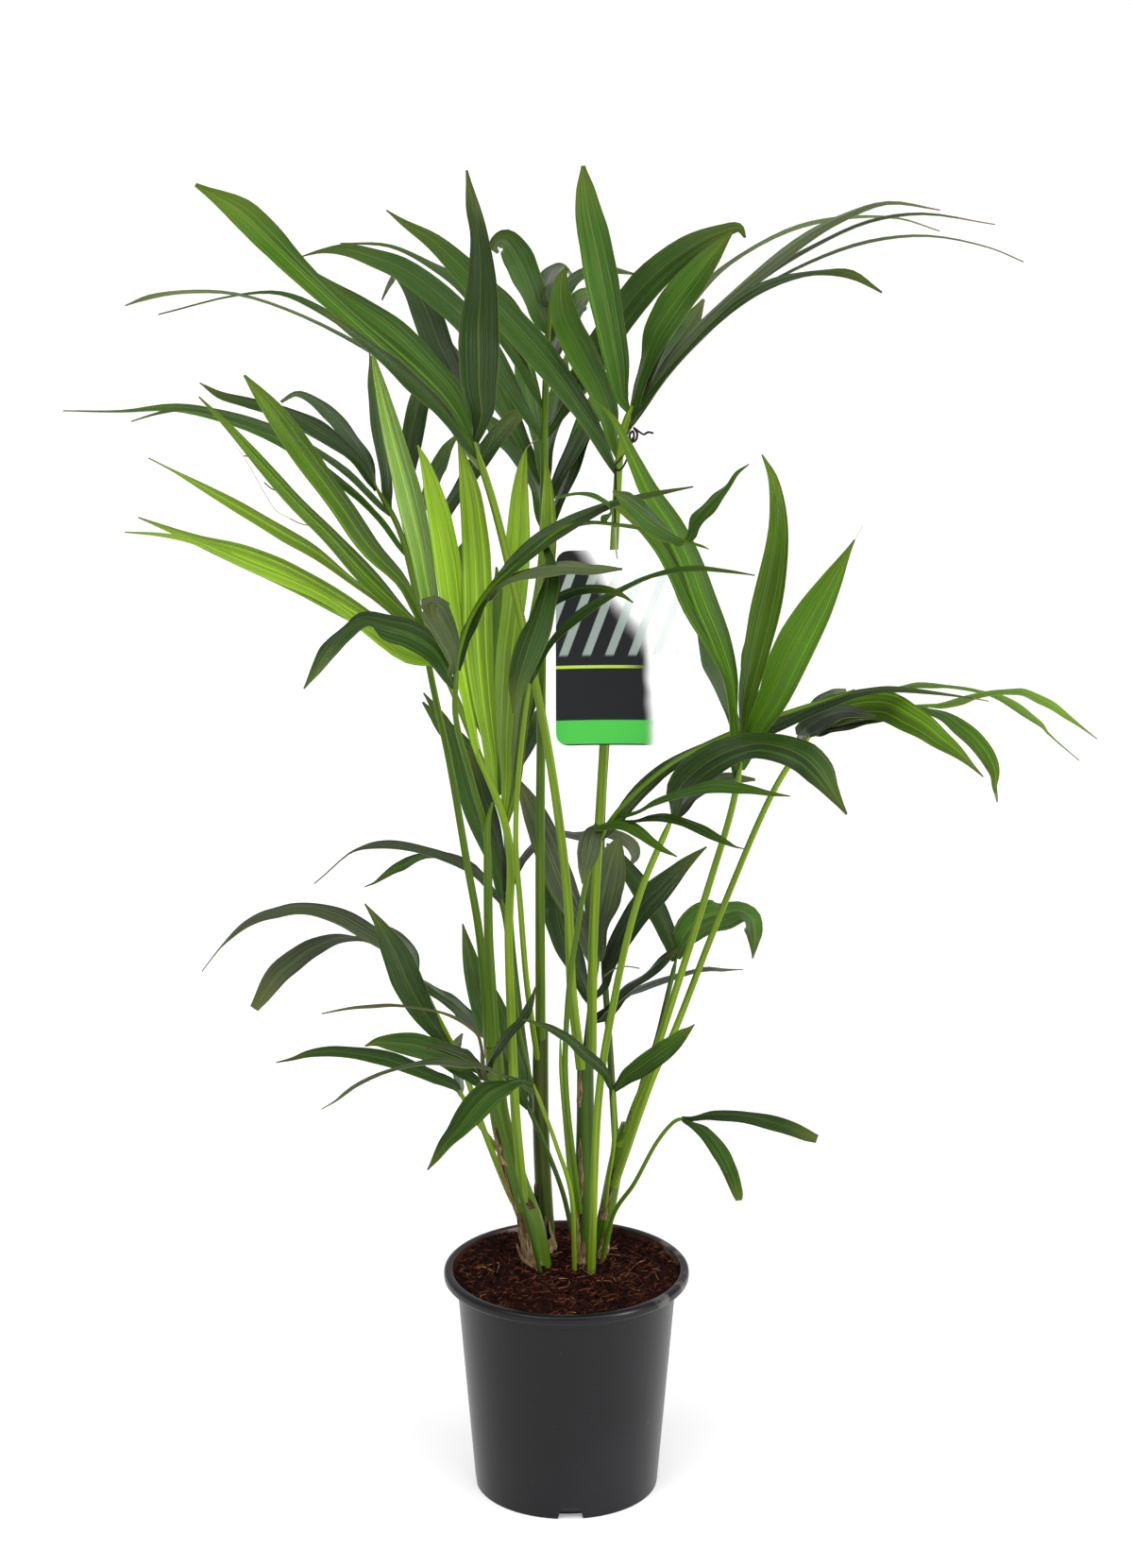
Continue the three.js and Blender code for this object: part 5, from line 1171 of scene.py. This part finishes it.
# %% The mix's lumpy skin
def mix_height(x, y):
    """Height in metres of the potting mix's surface."""
    far = np.hypot(x, y)
    lumps = (np.sin(x * 210 + 2 * np.sin(y * 90)) * np.cos(y * 170 + 1.7 * np.sin(x * 130)) * 0.0032
             + np.sin(x * 520 + y * 310) * 0.0014)
    clump = 0.005 * np.exp(-((x + 0.07) ** 2 + (y - 0.075) ** 2) / 0.0006)
    edge = ease((far - 0.085) / 0.024)
    return 0.222 - 0.0012 * edge + lumps * (1 - 0.6 * edge) + clump


MIX_SIDES = 90
SKIRT = [(0.1035, 0.2035), (0.104, 0.2060), (0.1055, 0.2135)]  # radius and height, out of sight
turn = turns(MIX_SIDES)
rings = [np.stack([radius * np.cos(turn), radius * np.sin(turn), np.full(MIX_SIDES, up)], axis=1)
         for radius, up in SKIRT]
for radius in np.linspace(0.1088, 0.001, 46):
    x = radius * np.cos(turn)
    y = radius * np.sin(turn)
    rings.append(np.stack([x, y, mix_height(x, y)], axis=1))
mix.loft(np.array(rings), (0.0, 0.0), 0)
print("height in the middle:", round(float(mix_height(0, 0)), 4), "m")

# %% Crumbs and fibres
CRUMBS = 1500
FIBRES = 2000
CRUMB_TONES = [0, 0, 0, 0, 1]
FIBRE_TONES = [0, 0, 0, 1, 1, 1, 1, 2, 2, 3]
FIBRE_CHANCES = [0.08] * 6 + [0.14, 0.17, 0.17, 0.04]


def on_the_mix(reach, lift):
    """A point within reach of the mix's middle, and how far out it is."""
    far = reach * math.sqrt(dice.uniform(0, 1))
    spin = dice.uniform(0, 2 * np.pi)
    x = far * math.cos(spin)
    y = far * math.sin(spin)
    return np.array([x, y, mix_height(x, y) + lift]), far


def crumb(middle, size, tone):
    """A lumpy bead of four rings."""
    axis = unit(dice.normal(size=3))
    first = unit(np.cross(axis, dice.normal(size=3)))
    other = np.cross(axis, first)
    turn = turns(6)
    rings = []
    for rise, wide in ((-1, 0.45), (-0.3, 1), (0.5, 0.9), (1, 0.35)):
        reach = size * wide * dice.uniform(0.7, 1.15, 6)
        rings.append(middle + axis * size * rise * 1.3 + first * (reach * np.cos(turn))[:, None]
                     + other * (reach * np.sin(turn))[:, None])
    mix.loft(np.array(rings), (0.0, 0.0), tone)


def fibre(middle, length, thick, tone):
    """A bent coir fibre that lies on the mix."""
    heading = dice.uniform(0, 2 * np.pi)
    pitch = dice.normal(0, 0.22)
    reach = np.array([math.cos(heading), math.sin(heading), math.sin(pitch)]) * length / 2
    bow = dice.normal(size=3) * length * np.array([0.24, 0.24, 0.08])
    line = smooth_line(np.array([middle - reach, middle + bow + [0, 0, length * 0.05],
                                 middle + reach]), 3)
    tube(mix, line, thick * np.linspace(1, 0.5, len(line)), tone, 4)


for number in range(CRUMBS):
    middle, far = on_the_mix(0.1092, 0.0)
    size = dice.uniform(0.0007, 0.0022)
    crumb(middle, size, int(dice.choice(CRUMB_TONES, 1)[0]))
for number in range(FIBRES):
    middle, far = on_the_mix(0.1085, 0.0011)
    length = dice.uniform(0.005, 0.02) * (0.6 if far > 0.095 else 1)  # shorter near the wall
    thick = dice.uniform(0.00014, 0.0004)
    fibre(middle, length, thick, int(dice.choice(FIBRE_TONES, 1, p=FIBRE_CHANCES)[0]))
mix.make("soil", ["soil"])

# %% [markdown]
# ## The hang tag
# A card with rounded corners, printed with a plain design: a charcoal field with slanted
# stripes that fades to white at its right side, a thin line and a band of green. Its top
# corner fades to white as well, which is painted glare, and the white parts glow a little,
# a painted glare that makes them as bright as the floor. It bows a little. The print and
# the glare are a set of masks worked out from the card's own marks. A wire ties it to a
# frond's stalk, with a few loops and a loose end.

# %% Card print
# the emission is a painted glare: the card's white parts glow though no lamp is there
card_finish = Finish("printed card", {"Roughness": 0.45, "Specular IOR Level": 0.25,
                                      "Emission Strength": 0.4})
over = card_finish.marks("blade")
up = over.other("Y")
smoke = card_finish.grain(card_finish.join(over * 3, up * 4), 1.0, 2.0)
right_fade = card_finish.step(over + smoke * 0.1, 0.76, 0.9)
# painted glare: the top corner washes out to white
top_glare_fade = card_finish.step(over * 0.9 + up + smoke * 0.2, 1.18, 1.45)
fade = right_fade + top_glare_fade * (1 - right_fade)
field = card_finish.blend(fade, paint("101215"), paint("fdfefd"))
# painted glare: the white parts glow as bright as the floor
painted_glare_glow = card_finish.blend(fade, (0, 0, 0, 1), WHITE)
card_finish.feed(card_finish.shader.inputs["Emission Color"], painted_glare_glow)
slant = over * 0.9 - up * 0.55
stripes = card_finish.step(slant.maths("WRAP", slant, 0.0, 0.17), 0.10, 0.11)
inside = card_finish.step(up, 0.46, 0.48) * (1 - card_finish.step(up, 0.88, 0.9))
striped = card_finish.blend(stripes * inside * 0.8, field, paint("98a69f"))
line_end = 1 - card_finish.step(over, 0.5, 0.8)
thin = card_finish.step(up, 0.40, 0.405) * (1 - card_finish.step(up, 0.415, 0.42)) * line_end
lined = card_finish.blend(thin, striped, paint("a9cb44"))
band = card_finish.step(up, 0.005, 0.01) * (1 - card_finish.step(up, 0.13, 0.135)) * (1 - right_fade)
printed = card_finish.wear(card_finish.blend(band, lined, paint("45b545")))
# the fade holds the painted glare of the top corner as well as the white print
print("print masks: fade, stripes, thin line, green band")

# %% Card, bowed both ways
WIDE = 0.114
TALL = 0.188
CORNER = 0.012
THICK = 0.0007
CARD_COLUMNS = 19
CLOSE_ROWS = np.array([0, 0.0008, 0.002, 0.004, 0.007, 0.012])  # where the corners turn
card = Heap("hang_tag", [printed])
rings = []
marks = []
for rise in [*CLOSE_ROWS, *np.linspace(0.02, TALL - 0.02, 24), *(TALL - CLOSE_ROWS[::-1])]:
    from_end = max(0.0, CORNER - min(rise, TALL - rise))
    half = WIDE / 2 - CORNER + math.sqrt(CORNER ** 2 - from_end ** 2)
    columns = np.linspace(-half, half, CARD_COLUMNS)
    bow = 0.0035 * (columns / (WIDE / 2)) ** 2 + 0.003 * math.sin(math.pi * rise / TALL)
    front = np.stack([columns, -bow, np.full(CARD_COLUMNS, rise)], axis=1)
    rings.append(np.concatenate([front, front[::-1] + [0, THICK, 0]]))
    share = columns / WIDE + 0.5
    marks.append(beside(np.concatenate([share, share[::-1]]), rise / TALL))
low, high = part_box("tag")
middle = np.array([(low[0] + high[0]) / 2, low[1] + 0.004, low[2]])  # bowed to the solid's front
card.loft(np.array(rings) + middle, np.array(marks), 0)
card.make("tag", ["tag"], 40)

# %% Tie, as a radius in metres, a finish and places
wire_finish = Finish("black tie wire", {"Roughness": 0.5, "Base Color": paint("0c0c0c"),
                                        "Specular IOR Level": 0.3})
pale_finish = Finish("pale wire end", {"Roughness": 0.5, "Base Color": paint("8d8f8c")})
wire = Heap("tag_tie_wire", [wire_finish.material, pale_finish.material])
WIRE_LINES = [
    (0.0009, 0, [(58, 1046, -9), (57, 1036, -10), (53, 1026, -9), (48, 1021, -8), (45, 1026, -6),
                 (49, 1031, -2), (55, 1040, 4), (59, 1047, 6), (61, 1052, 2)]),
    (0.0009, 0, [(60, 1048, -8), (56, 1033, -9), (51, 1023, -8), (46, 1021, -8), (45, 1017, -8)]),
    (0.0011, 0, [(59, 1045, -9), (62, 1052, -10), (61, 1058, -6), (58, 1054, -4), (60, 1048, -6),
                 (64, 1050, -8), (65, 1056, -8), (62, 1061, -9), (66, 1058, -10), (71, 1055, -10),
                 (75, 1057, -11), (80, 1056, -12)]),
    (0.0011, 0, [(45, 1023, -8), (45.5, 1004, -9), (45, 985, -8), (45, 968, -6)]),
    (0.0009, 1, [(45, 968, -6), (45.5, 958, -5), (46, 946, -3), (47, 939, -2), (47, 938, 3)]),
]
for thick, slot, points in WIRE_LINES:
    tube(wire, smooth_line(np.array([place(*point) for point in points]), 6), thick, slot, 6)
wire.make("tie", ["tag_tie"])
